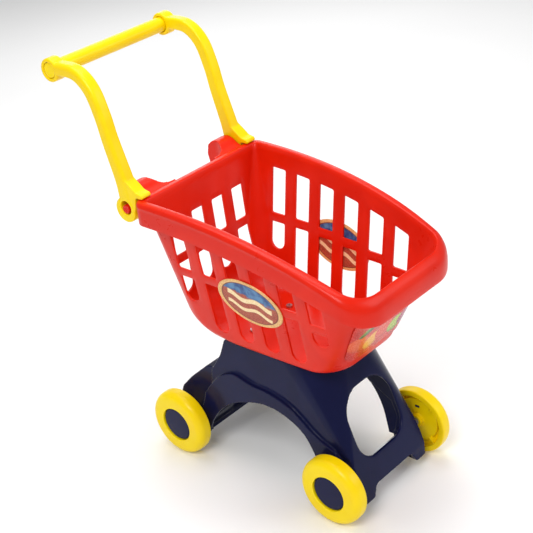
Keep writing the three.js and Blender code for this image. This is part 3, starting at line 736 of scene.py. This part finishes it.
# the rim's section as (inset, drop), from the wall round the skirt to the inner edge
SIDE_RIM = [(7.6, 2.9), (5.6, 2.8), (3.8, 3.0), (2.9, 4.2), (2.6, 6), (2.6, 14), (2.6, 22),
            (2.6, 28.6), (2.1, 29.7), (1.2, 30), (0.6, 29.6), (0.45, 28.6), (0.45, 20), (0.45, 11),
            (0.4, 7.4), (0.05, 6.6), (0, 5.8), (0.05, 4.9), (0.5, 4.2), (0.75, 3.4), (1.2, 2.4),
            (2.0, 1.5), (3.2, 0.8), (4.8, 0.3), (6.6, 0.05), (8.4, 0), (10.1, 0.15), (11.2, 0.65)]
FRONT_RIM = [(7.4, 3.6), (5.4, 4.8), (4.0, 6.4), (3.2, 8.4), (2.8, 11), (2.6, 16), (2.6, 22),
             (2.6, 28.6), (2.1, 29.7), (1.2, 30), (0.6, 29.6), (0.3, 28.6), (0.1, 24), (0.05, 20),
             (0.15, 17), (0.4, 14.4), (0.8, 12.1), (1.3, 10.1), (2.0, 8.2), (2.8, 6.6), (3.8, 5.0),
             (5.0, 3.6), (6.3, 2.4), (7.6, 1.4), (8.8, 0.7), (9.9, 0.25), (10.9, 0.15), (11.6, 0.75)]
FLOOR_RINGS = (0.35, 0.7)
ROUNDING_DEGREES = (90, 78, 66, 54, 42, 31, 20, 10)


def rim_rows(shares):
    """The rim's rows over columns at these shares: crisp along the sides, rolled over at the front."""
    rows = []
    for (inset_a, drop_a), (inset_b, drop_b) in zip(SIDE_RIM, FRONT_RIM):
        row = []
        for share in shares:
            front = 1 - smoothstep(share, BREAKS[1] + 0.07, BREAKS[2] + 0.12)
            inset, drop = inset_a + (inset_b - inset_a) * front, drop_a + (drop_b - drop_a) * front
            x, y = half_outline(shrunk(RIM, inset), share)[0]
            row.append([x, y, crest(y) - drop])
        rows.append(row)
    return rows


def floor_rows(skin, shares):
    """From the floor's middle out to the wall."""
    turn = [[skin.rounding(share, degrees) for share in shares] for degrees in ROUNDING_DEGREES]
    middle = np.array([0, FLOOR_MIDDLE_Y, skin.low])
    inner = [[middle + (p - middle) * scale for p in turn[0]] for scale in FLOOR_RINGS]
    return inner + turn


def mirrored(row):
    """A whole ring from the half row, which runs from the middle of the front to that of the rear."""
    row = np.asarray(row, float)
    return np.concatenate([row, (row * (-1, 1, 1))[-2:0:-1]])


def basket_wall():
    """The slotted moulding as one closed grid, with the slots left open and their sides filled in."""
    (side, rear), spans = slot_columns()
    grids = {skin: wall_columns(skin, side, rear) for skin in (OUTER, INNER)}
    half = len(grids[OUTER])
    count = 2 * half - 2
    rows = {}
    for skin, grid in grids.items():
        wall = [[skin.at(*column[r]) for column in grid] for r in range(len(grid[0]))]
        rows[skin] = floor_rows(skin, [column[0][0] for column in grid]), wall
    rim = rim_rows([column[-1][0] for column in grids[OUTER]])
    stack = [*rows[OUTER][0], *rows[OUTER][1], *rim, *rows[INNER][1][::-1], *rows[INNER][0][::-1]]
    points = np.concatenate([mirrored(row) for row in stack])
    first_outer = len(rows[OUTER][0])
    last_inner = first_outer + 2 * len(rows[OUTER][1]) + len(rim) - 1

    starts = np.cumsum([0, *ROWS])
    offsets = {"y": FRONT_COLUMNS, "x": FRONT_COLUMNS + len(side) + CORNER_COLUMNS - 1}
    holes = []
    for axis, c0, c1 in spans:
        c0, c1 = c0 + offsets[axis], c1 + offsets[axis]
        for low, high in ((1, 2), (3, 4)):
            holes.append((c0, c1, starts[low], starts[high]))
            holes.append((count - c1, count - c0, starts[low], starts[high]))
    open_cells = {(r, c % count) for c0, c1, r0, r1 in holes for r in range(r0, r1) for c in range(c0, c1)}

    def index(layer, r, c):
        return (first_outer + r if layer == 0 else last_inner - r) * count + c % count

    faces = []
    for r in range(len(stack) - 1):
        for c in range(count):
            if (r - first_outer, c) in open_cells or (last_inner - r - 1, c) in open_cells:
                continue
            a, b = r * count + c, r * count + (c + 1) % count
            faces.append((a, b, b + count, a + count))
    rims = set()
    for c0, c1, r0, r1 in holes:
        edge = [(r0, c) for c in range(c0, c1)] + [(r, c1) for r in range(r0, r1)]
        edge += [(r1, c) for c in range(c1, c0, -1)] + [(r, c0) for r in range(r1, r0, -1)]
        for (r, c), (r_next, c_next) in zip(edge, edge[1:] + edge[:1]):
            quad = [index(0, r, c), index(0, r_next, c_next), index(1, r_next, c_next), index(1, r, c)]
            faces.append(tuple(quad))
            rims.update(quad)
    centres = len(points)
    points = np.concatenate([points, [[0, FLOOR_MIDDLE_Y, OUTER.low], [0, FLOOR_MIDDLE_Y, INNER.low]]])
    last = (len(stack) - 1) * count
    for c in range(count):
        faces.append((centres, (c + 1) % count, c))
        faces.append((centres + 1, last + c, last + (c + 1) % count))
    return points, faces, rims


def round_slot_edges(made, corners):
    """Bevels the sharp edges round the slots."""
    bm = bmesh.new()
    bm.from_mesh(made.data)
    bm.verts.ensure_lookup_table()
    sharp = [e for e in bm.edges if e.verts[0].index in corners and e.verts[1].index in corners
             and len(e.link_faces) == 2 and e.calc_face_angle() > math.radians(50)]
    bmesh.ops.bevel(bm, geom=sharp, offset=SLOT_EDGE * MM, offset_type="OFFSET", segments=2, profile=0.5,
                    affect="EDGES", clamp_overlap=False)
    bmesh.ops.recalc_face_normals(bm, faces=bm.faces)
    bm.to_mesh(made.data)
    bm.free()


def ear(sign):
    """The hollow lug behind the rim, with its fillet into the rim on the inboard side."""
    crown = spline([[91, 374], [100, 377], [108, 382], [117, 384], [127, 380.5]], 24)
    back = filleted([(127, 380.5, 0), (132.5, 375, 3), (135, 362, 4), (132, 350, 3), (128, 345, 1.5),
                     (94.5, 345, 0)], 5)
    skin = np.concatenate([crown, back[1:]])
    hollow = filleted([(99, 340, 0), (99, 371, 3), (109, 378.5, 4), (121, 379, 4), (129.5, 373, 3),
                       (131, 362, 3), (125, 340, 0)], 4)
    inner, outer, turn = EAR["inner"], EAR["outer"], EAR["fillet"]
    body = side_prism("ear", sign, skin, inner - turn - 4, outer)
    middle = inner - turn, RIM["rear"] + turn
    arc = [(middle[0] + turn * math.cos(a), middle[1] + turn * math.sin(a))
           for a in np.linspace(-math.pi / 2, 0, 17)]
    inboard = inner - turn - 3
    plan = [(inboard, 88), (inboard, RIM["rear"]), *arc, (inner, 140), (outer, 140), (outer, 88)]
    combine(body, "INTERSECT", prism("plan", np.array(plan) * (sign, 1), 330, 400, "z"))
    room = side_prism("room", sign, hollow, inner + EAR["wall"], outer - EAR["wall"])
    combine(body, "DIFFERENCE", room)
    return moulded(body, 0.8, 4, 0.6)


def peg(sign):
    """The pin that an arm's lower eye turns on, with a dimple in its end."""
    root, radius, end = EAR["outer"] - 2.5, PEG["radius"], PEG["end"]
    profile = filleted([(0, root, 0), (radius, root, 0), (radius, end, 0.9), (2.6, end, 0.4),
                        (2.2, end - 0.8, 0.3), (0, end - 0.8, 0)])
    points, faces = turned(profile, 48)
    return piece("peg", points * (sign, 1, 1) + (0, PEG["y"], PEG["z"]), faces)


def basket():
    points, faces, corners = basket_wall()
    shell = piece("shell", points, faces)
    round_slot_edges(shell, vertices_at(shell, points[sorted(corners)]))
    parts = [shell]
    for sign in SIDES.values():
        parts += [ear(sign), peg(sign)]
    made = paint(joined("basket_moulding", parts), RED)
    shade(made, 42)
    hand_in(made, "cart", "basket")


def search_tree(points):
    """Finds the nearest of many points."""
    tree = KDTree(len(points))
    for i, point in enumerate(points):
        tree.insert(Vector(point), i)
    tree.balance()
    return tree


def vertices_at(made, wanted):
    """The indices of the mesh's vertices that lie at the wanted points."""
    tree = search_tree([v.co for v in made.data.vertices])
    return {tree.find(Vector(p) * MM)[1] for p in wanted}


# ---- plates that lie on the basket's wall ----

def on_side_wall(y, z, lift):
    """The point of the +X wall at a place and a height, moved out by lift."""
    share = OUTER.share_of("y", y, z)
    return OUTER.at(share, z) + (lift, 0, 0)


# the badge's section as (scale, lift over its back), from the back's edge to the middle
BADGE_SECTION = [(1.0, 0), (1.0, 0.9), (0.992, 1.25), (0.975, 1.4), (0.93, 1.4), (0.908, 1.28), (0.895, 1.0),
                 (0.875, 0.95), (0.6, 0.95), (0.3, 0.95)]


def badge(name, sign):
    tilt = math.radians(BADGE["tilt"])
    angles = np.linspace(0, 2 * math.pi, 96, endpoint=False)
    rings, prints = [], []
    for scale, lift in [(0.3, 0), (0.65, 0), *BADGE_SECTION]:
        ring = []
        for a in angles:
            u, v = scale * math.cos(a), scale * math.sin(a)
            y = BADGE["y"] + u * BADGE["long"] * math.cos(tilt) - v * BADGE["short"] * math.sin(tilt)
            z = BADGE["z"] + u * BADGE["long"] * math.sin(tilt) + v * BADGE["short"] * math.cos(tilt)
            ring.append(on_side_wall(y, z, BADGE["back"] + lift) * (sign, 1, 1))
            prints.append((u, v))
        rings.append(np.array(ring))
    points, faces = loft(rings)
    made = piece(f"badge_plate_{name}", points, faces, BADGE_PRINT, 50)
    print_on(made, points, prints)
    hand_in(made, "cart", f"badge_{name}")


def print_on(made, points, places):
    """Stores each point's place on the print, from -1 to 1 both ways, in the layer that draws it."""
    tree = search_tree(points)
    layer = made.data.uv_layers.new(name="print")
    spots = [places[tree.find(v.co / MM)[1]] for v in made.data.vertices]
    for loop in made.data.loops:
        layer.data[loop.index].uv = spots[loop.vertex_index]


def front_label():
    """The printed film that wraps the front wall, its four corners rounded."""
    columns, rows = 49, 15
    z_low, z_high = (FLOOR_Z + (crest(RIM["front"]) - FLOOR_Z) * t for t in (LABEL["low"], LABEL["high"]))
    corner, corner_rows = LABEL["corner"], 2.4 * LABEL["corner"]

    def point(u, v, lift):
        z = z_low + (z_high - z_low) * (v + 1) / 2
        share = abs(u) * LABEL["reach"]
        here, ahead = OUTER.at(share, z), OUTER.at(share + 0.01, z)
        along = (ahead - here) / np.linalg.norm(ahead - here)
        return (here + np.array([along[1], -along[0], 0]) * lift) * (1 if u >= 0 else -1, 1, 1)

    def place(r, c):
        v = 2 * r / (rows - 1) - 1
        over = max(0.0, abs(v) - (1 - corner_rows)) / corner_rows
        return (2 * c / (columns - 1) - 1) * (1 - corner * (1 - math.sqrt(1 - min(over, 1) ** 2))), v

    spots = [place(r, c) for r in range(rows) for c in range(columns)]
    size = rows * columns
    points = np.array([point(u, v, LABEL["back"] + lift) for lift in (LABEL["thick"], 0) for u, v in spots])
    faces = []
    for r in range(rows - 1):
        for c in range(columns - 1):
            a = r * columns + c
            quad = (a, a + 1, a + columns + 1, a + columns)
            faces += [quad, tuple(i + size for i in reversed(quad))]
    edge = [*range(columns)] + [r * columns + columns - 1 for r in range(1, rows)]
    edge += [(rows - 1) * columns + c for c in range(columns - 2, -1, -1)]
    edge += [r * columns for r in range(rows - 2, 0, -1)]
    faces += [(b, a, a + size, b + size) for a, b in zip(edge, edge[1:] + edge[:1])]
    made = piece("front_print", points, faces, LABEL_PRINT, 50)
    print_on(made, points, spots * 2)
    hand_in(made, "cart", "front_label")


# ---- the chassis ----

ARCH = spline([[57, 28], [47, 52], [24, 80], [-8, 100], [-58, 112], [-104, 97], [-126, 66], [-136, 24]], 56)
LIP = spline([[-136, 92], [-121, 101], [-92, 122], [-60, 132], [-28, 134], [-2, 139.5], [12, 136], [26, 127],
              [40, 113], [56, 92]], 54)


def front_panel_y(z):
    """Where the leaning front panel stands at a height."""
    return FRONT_PANEL["y"] - FRONT_PANEL["lean"] * (FRONT_PANEL["z"] - z)


def saddle_outline():
    """The saddle seen from the side, its arch and legs included."""
    rest = filleted([
        (-168, 14, 3), (-197, 14, 4), (front_panel_y(32), 32, 4), (front_panel_y(178), 178, 0),
        (-128, DECK_Z, 3), (10, DECK_Z, 3), (15, DECK_Z - 4, 1.5), (25, 158, 8), (41, 133, 6), (57, 128, 6),
        (88, 100, 6), (106, 80, 9), (110, 70, 5), (108, 32, 6), (100, 22, 4), (66, 22, 2)])
    return np.concatenate([ARCH, rest])


def saddle_hollow():
    """The room inside the saddle, open below."""
    return filleted([
        (57, 10, 0), (-150, 10, 0), (-168, 18, 2), (-188, 18, 2), (front_panel_y(36) + 4.4, 36, 2),
        (front_panel_y(176) + 4.4, 176, 4), (-126, DECK_Z - 4, 4), (7, DECK_Z - 4, 2), (11, 180, 2),
        (20, 157, 6), (36, 130, 5), (55, 122.5, 4), (84, 97, 4), (101, 78, 5), (105, 69, 3), (103, 33, 3),
        (98, 27, 2), (66, 27, 0)])


def band_outline():
    """The side arch that stands out from the saddle, up to its raised lip."""
    front = filleted([(-136, 24, 0), (-158, 24, 6), (-168, 60, 14), (-158, 84, 8), (-136, 92, 0)])[1:-1]
    return np.concatenate([ARCH, front, LIP, [(63, 70), (64, 28)]])


def band_hollow():
    """The room inside the side arch, open below."""
    return filleted([
        (50, 12, 0), (-146, 12, 0), (-154, 60, 8), (-146, 80, 6), (-119, 95, 20), (-90, 117, 30),
        (-60, 127, 40), (-28, 129, 30), (-2, 134, 10), (9, 131, 8), (22, 123, 10), (36, 109, 10),
        (51, 90, 10), (58, 68, 8), (59, 26, 0)])


def rounded_front(sign, inset=0.0):
    """What is cut off the saddle so that its front and its side meet in a turn that tightens downwards."""
    rings = []
    for z in np.linspace(62, 200, 24):
        radius = FRONT_CORNER["radius"] - FRONT_CORNER["taper"] * (FRONT_CORNER["z"] - z)
        radius = max(radius, FRONT_CORNER["least"])
        middle_x, middle_y = CHASSIS["saddle_half"] - radius, front_panel_y(z) + radius
        turn = [(middle_x + (radius - inset) * math.cos(a), middle_y + (radius - inset) * math.sin(a))
                for a in np.linspace(-math.pi / 2, 0, 20)]
        outline = [(middle_x, middle_y - radius - 60), *turn, (150, middle_y), (150, middle_y - radius - 60)]
        rings.append(np.array([(sign * x, y, z) for x, y in outline]))
    return piece("rounded_front", *loft(rings))


def window(name, size, low, high):
    half, bottom, top = size["half"], size["low"], size["high"]
    outline = filleted([(half, bottom, size["low_corner"]), (half, top, size["high_corner"]),
                        (-half, top, size["high_corner"]), (-half, bottom, size["low_corner"])], 14)
    return prism(name, outline, low, high, "y")


def feet_outline():
    """The front panel's outline: narrow at the top, flared feet, and a raised edge between them."""
    half = [(36, 32, 8), (44, 17, 5), (50, 13, 3), (62, 16, 4), (66, 40, 8), (63, 74, 20), (70, 100, 20),
            (70, 200, 0)]
    return filleted([(-x, z, r) for x, z, r in reversed(half)] + half, 5)


def chassis():
    skin, half = CHASSIS["skin"], CHASSIS["saddle_half"]
    inner, outer = CHASSIS["band_inner"], CHASSIS["band_outer"]
    shell = prism("saddle", saddle_outline(), -half, half, "x")
    trims = [side_prism("trim", sign, np.array([(62, 10), (120, 10), (120, 140), (42, 140)], float),
                        CHASSIS["block_half"], outer + 5) for sign in SIDES.values()]
    combine(shell, "DIFFERENCE", *trims, *(rounded_front(sign) for sign in SIDES.values()))
    front = prism("front", feet_outline(), -215, FRONT_PANEL["trim_y"], "y")
    behind = prism("behind", np.array([(-100, -20), (100, -20), (100, 220), (-100, 220)], float),
                   FRONT_PANEL["trim_y"], 150, "y")
    combine(shell, "INTERSECT", combine(front, "UNION", behind))
    bands = [side_prism("band", sign, band_outline(), inner, outer) for sign in SIDES.values()]
    combine(shell, "UNION", *bands)
    hollow = prism("hollow", saddle_hollow(), skin - half, half - skin, "x")
    combine(hollow, "DIFFERENCE", *(rounded_front(sign, skin) for sign in SIDES.values()))
    rooms = [side_prism("room", sign, band_hollow(), inner - 1, outer - skin) for sign in SIDES.values()]
    combine(shell, "DIFFERENCE", hollow, *rooms)
    axles = [middle_of(f"axle_{end}")[1:] for end in ENDS]
    boss, socket = AXLE_BOSS, SCREW_SOCKET
    bosses = [side_prism("boss", sign, circle(*axle, boss["radius"]), boss["inner"], boss["outer"])
              for axle in axles for sign in SIDES.values()]
    screws = [middle_of(f"basket_screw_{end}_{side}")[:2] for end in ENDS for side in SIDES]
    sockets = [prism("socket", circle(*screw, socket["radius"]), DECK_Z - socket["deep"],
                     DECK_Z - socket["under"], "z") for screw in screws]
    combine(shell, "UNION", *bosses, *sockets)
    holes = [prism("hole", circle(*axle, boss["hole"]), -90, 90, "x") for axle in axles]
    combine(shell, "DIFFERENCE", window("window", WINDOW, -200, -140),
            window("rear_window", REAR_WINDOW, 60, 130), *holes)
    shell.name = "chassis_moulding"
    moulded(shell, 1.0, 5, 0.18)
    hand_in(paint(shell, NAVY), "cart", "chassis")


# ---- the handle ----

ARM_LINE = spline([[116, 362], [121, 392], [134, 439], [142, 472], [155, 503], [178, 520], [212, 520]], 72)


def limb(sign):
    """The S-shaped bar of an arm: a crowned outer face, its front edge well rounded."""
    inner, outer = ARM["inner"], ARM["outer"]
    along = np.gradient(ARM_LINE, axis=0)
    along /= np.linalg.norm(along, axis=1)[:, None]
    rings = []
    for i, (p, direction) in enumerate(zip(ARM_LINE, along)):
        share = i / (len(ARM_LINE) - 1)
        back, front = (ARM["half"] + wider * (1 - smoothstep(share, 0, reach))
                       for wider, reach in (ARM["back_flare"], ARM["front_flare"]))
        section = filleted([(front, inner, 3), (front, outer - 0.5, 5.5), (1, outer, 9),
                            (-back, outer - 0.5, 3), (-back, inner, 3)], 5)
        normal = np.array([-direction[1], direction[0]])
        rings.append(np.array([[sign * x, *(p + normal * a)] for a, x in section]))
    return piece("limb", *loft(rings))


def eye(sign, y, z, radius, inner, outer):
    """A round end of an arm, before its hole is cut."""
    profile = filleted([(0, inner, 0), (radius, inner, EYE_EDGE), (radius, outer, EYE_EDGE), (0, outer, 0)])
    points, faces = turned(profile, 72)
    return piece("eye", points * (sign, 1, 1) + (0, y, z), faces)


def handle_arm(name, sign):
    """One arm: the limb, an eye at each end and the wing that rests on the rim."""
    inner, outer = ARM["inner"], ARM["outer"]
    wing = filleted([(118, 400, 0), (102, 388.5, 5), (95, 383, 7), (86, 381.5, 2), (84, 376.6, 1.5),
                     (97, 376.2, 3), (98.5, 364, 4), (103, 350, 4), (116, 350, 0)], 5)
    body = limb(sign)
    low, up = LOWER_EYE, UPPER_EYE
    combine(body, "UNION", side_prism("wing", sign, wing, inner, outer - 1),
            eye(sign, low["y"], low["z"], low["radius"], inner, outer),
            eye(sign, up["y"], up["z"], up["radius"], inner, up["outer"]))
    peg_hole = circle(low["hole_y"], low["hole_z"], low["hole_radius"], 64)
    grip_hole = circle(up["y"], up["z"], GRIP["radius"] + GRIP["play"], 64)
    combine(body, "DIFFERENCE", side_prism("hole", sign, peg_hole, inner - 3, outer + 2),
            side_prism("hole", sign, grip_hole, inner - 2, outer + 2))
    body.name = f"arm_moulding_{name}"
    moulded(body, 0.7, 8, 0.35)
    hand_in(paint(body, YELLOW), "handle", f"handle_arm_{name}")


def at_grip(name, profile, turn=0.0):
    made = piece(name, *turned(profile), YELLOW)
    made.location = Vector((0, UPPER_EYE["y"], UPPER_EYE["z"])) * MM
    made.rotation_euler = (0, 0, turn)
    return made


def handle_grip():
    bore, radius, half = GRIP["bore"], GRIP["radius"], GRIP["half"]
    stations = np.linspace(-half, half, 9)
    profile = np.array([(radius, x) for x in stations] + [(bore, x) for x in stations[::-1]])
    hand_in(at_grip("grip_tube", profile), "handle", "handle_grip")


def grip_plug(name, sign):
    face, spigot, radius = GRIP["half"] + 0.3, GRIP["bore"] - 0.3, GRIP["radius"]
    profile = filleted([(0, face - 9, 0), (spigot, face - 9, 0.8), (spigot, face, 0), (radius, face, 0.3),
                        (radius - 0.6, face + 1.2, 0.8), (6.4, face + 1.4, 0.4), (6.0, face + 0.9, 0.3),
                        (0, face + 0.9, 0)])
    made = at_grip(f"grip_end_{name}", profile, 0 if sign > 0 else math.pi)
    hand_in(made, "handle", f"grip_plug_{name}")


# ---- the wheels ----

def block(name, centre, size, edge):
    """A block along X with its long edges rounded."""
    x, y, z = centre
    along, wide, high = (extent / 2 for extent in size)
    corners = [(y + a * wide, z + b * high, edge) for a, b in ((-1, -1), (1, -1), (1, 1), (-1, 1))]
    return prism(name, filleted(corners, 3), x - along, x + along, "x")


def tab_blocks(low, high, size, edge):
    """The cap's two tabs from one x to another, or with a wider size the slots that they go through."""
    return [block("tab", ((low + high) / 2, 0, z), (high - low, *size), edge)
            for z in (TAB["out"], -TAB["out"])]


def wheel_mesh():
    """A wheel: tread, outer pocket, web with slots for the cap, and ribs on the inner side."""
    outer, inner, web = WHEEL["outer"], WHEEL["inner"], WHEEL["web_outer"]
    bore, pocket, radius = WHEEL["bore"], WHEEL["pocket"], WHEEL["radius"]
    profile = filleted([
        (bore, inner + 0.6, 0.3), (bore, web, 0), (pocket, web, 0.5), (pocket, outer, 1.1),
        (radius, outer, 10), (radius, inner, 2.2), (37.5, inner, 0.9), (36.5, 92, 0.8), (30, 92, 0.8),
        (30, web - 3, 0.9), (9, web - 3, 1.0), (9, inner + 0.6, 0.7)], 8)
    body = piece("wheel", *turned(profile, 112))
    combine(body, "DIFFERENCE", *tab_blocks(web - 4.5, web + 4.5, TAB["slot"], 0.6))
    ribs = []
    for turn in RIB["turns"]:
        made = block("rib", (RIB["x"], RIB["out"], 0), RIB["size"], 0.6)
        made.data.transform(Matrix.Rotation(math.radians(turn), 4, "X"))
        ribs.append(made)
    return paint(joined("wheel", [body, *ribs]), YELLOW)


def cap_mesh():
    """A hub cap: a shallow cup with two tabs."""
    radius, face, back, wall = WHEEL["pocket"] - CAP["play"], CAP["face"], CAP["back"], CAP["wall"]
    profile = filleted([(0, face, 0), (radius - 2.6, face - 0.1, 1.5), (radius - 0.4, face - 1.0, 0.6),
                        (radius, back, 0.3), (radius - wall, back, 0.3), (radius - wall, face - 2.4, 1.0),
                        (0, face - wall, 0)], 6)
    cup = piece("cap", *turned(profile))
    return paint(joined("cap", [cup, *tab_blocks(TAB["inner"], face - 1, TAB["size"], 0.5)]), NAVY)


def wheels():
    wheel, cap = wheel_mesh(), cap_mesh()
    for end in ENDS:
        for side, sign in SIDES.items():
            _, y, z = middle_of(f"wheel_{end}_{side}")
            for source, name, node, slot in ((wheel, "wheel_moulding", "wheel", "yellow_plastic"),
                                             (cap, "cap_moulding", "hub_cap", "navy_plastic")):
                made = placed(f"{name}_{end}_{side}", source.data.copy())
                shade(made, 40)
                made.location = (0, y * MM, z * MM)
                made.rotation_euler = (0, 0, 0 if sign > 0 else math.pi)
                hand_in(made, f"{end}_{side}_wheel", f"{node}_{end}_{side}")
    discard(wheel)
    discard(cap)


# ---- CAD pieces that stay, the stage, the lights and the camera ----

def finish_cad_nodes():
    """The axles, spacers, push nuts and screws keep their CAD shape, with softened edges."""
    finishes = {"axle_spacer": GREY, "axle_": WIRE, "push_nut": WIRE, "basket_screw": ZINC}
    for name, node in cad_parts.items():
        for start, material in finishes.items():
            if name.startswith(start):
                node.data.materials.clear()
                node.data.materials.append(material)
                edges = node.modifiers.new("edges", "BEVEL")
                edges.width = 0.25 * MM
                edges.segments = 2
                edges.limit_method = "ANGLE"
                edges.angle_limit = math.radians(40)
                smooth = node.modifiers.new("normals", "WEIGHTED_NORMAL")
                smooth.keep_sharp = False
                node.data.shade_smooth()
                break


def stage():
    f = Finish("pale_floor")
    tone = f.blend(f.noise(3), linear(247, 247, 247), linear(251, 251, 251))
    material = f.done(Base_Color=tone, Roughness=0.85, Specular_IOR_Level=0.2)
    corners = [(x * FLOOR_HALF, y * FLOOR_HALF, 0) for x, y in ((-1, -1), (1, -1), (1, 1), (-1, 1))]
    floor = piece("floor", corners, [(0, 1, 2, 3)], material)
    world = bpy.data.worlds.new("studio")
    bpy.context.scene.world = world
    world.use_nodes = True
    background = world.node_tree.nodes["Background"]
    background.inputs["Color"].default_value = (1, 1, 1, 1)
    background.inputs["Strength"].default_value = WORLD_STRENGTH


def softbox(name, place, target, size, power):
    light = bpy.data.lights.new(name, "AREA")
    light.shape = "RECTANGLE"
    light.size, light.size_y = size
    light.energy = power
    made = placed(name, light)
    made.location = place
    made.rotation_euler = (Vector(target) - Vector(place)).to_track_quat("-Z", "Y").to_euler()


def lights():
    middle = (cad_low + cad_high) / 2
    for name, (place, size, power) in LIGHTS.items():
        softbox(name, place, middle, size, power)


def camera():
    heading, down, roll = (math.radians(CAMERA[key]) for key in ("heading", "down", "roll"))
    ahead = math.cos(down)
    forward = Vector((math.sin(heading) * ahead, math.cos(heading) * ahead, -math.sin(down)))
    level = forward.cross(Vector((0, 0, 1))).normalized()
    right = (level * math.cos(roll) + level.cross(forward) * math.sin(roll)).normalized()
    up = right.cross(forward)
    data = bpy.data.cameras.new("camera")
    data.lens = CAMERA["lens"]
    data.sensor_width = 36
    made = placed("camera", data)
    turn = Matrix((right, up, -forward)).transposed().to_4x4()
    made.matrix_world = Matrix.Translation(Vector(CAMERA["place"]) * MM) @ turn
    bpy.context.scene.camera = made


camera()
lights()
stage()
bpy.context.scene.view_settings.view_transform = "Standard"

basket()
for side_name, side_sign in SIDES.items():
    badge(side_name, side_sign)
    handle_arm(side_name, side_sign)
    grip_plug(side_name, side_sign)
front_label()
chassis()
handle_grip()
wheels()
finish_cad_nodes()
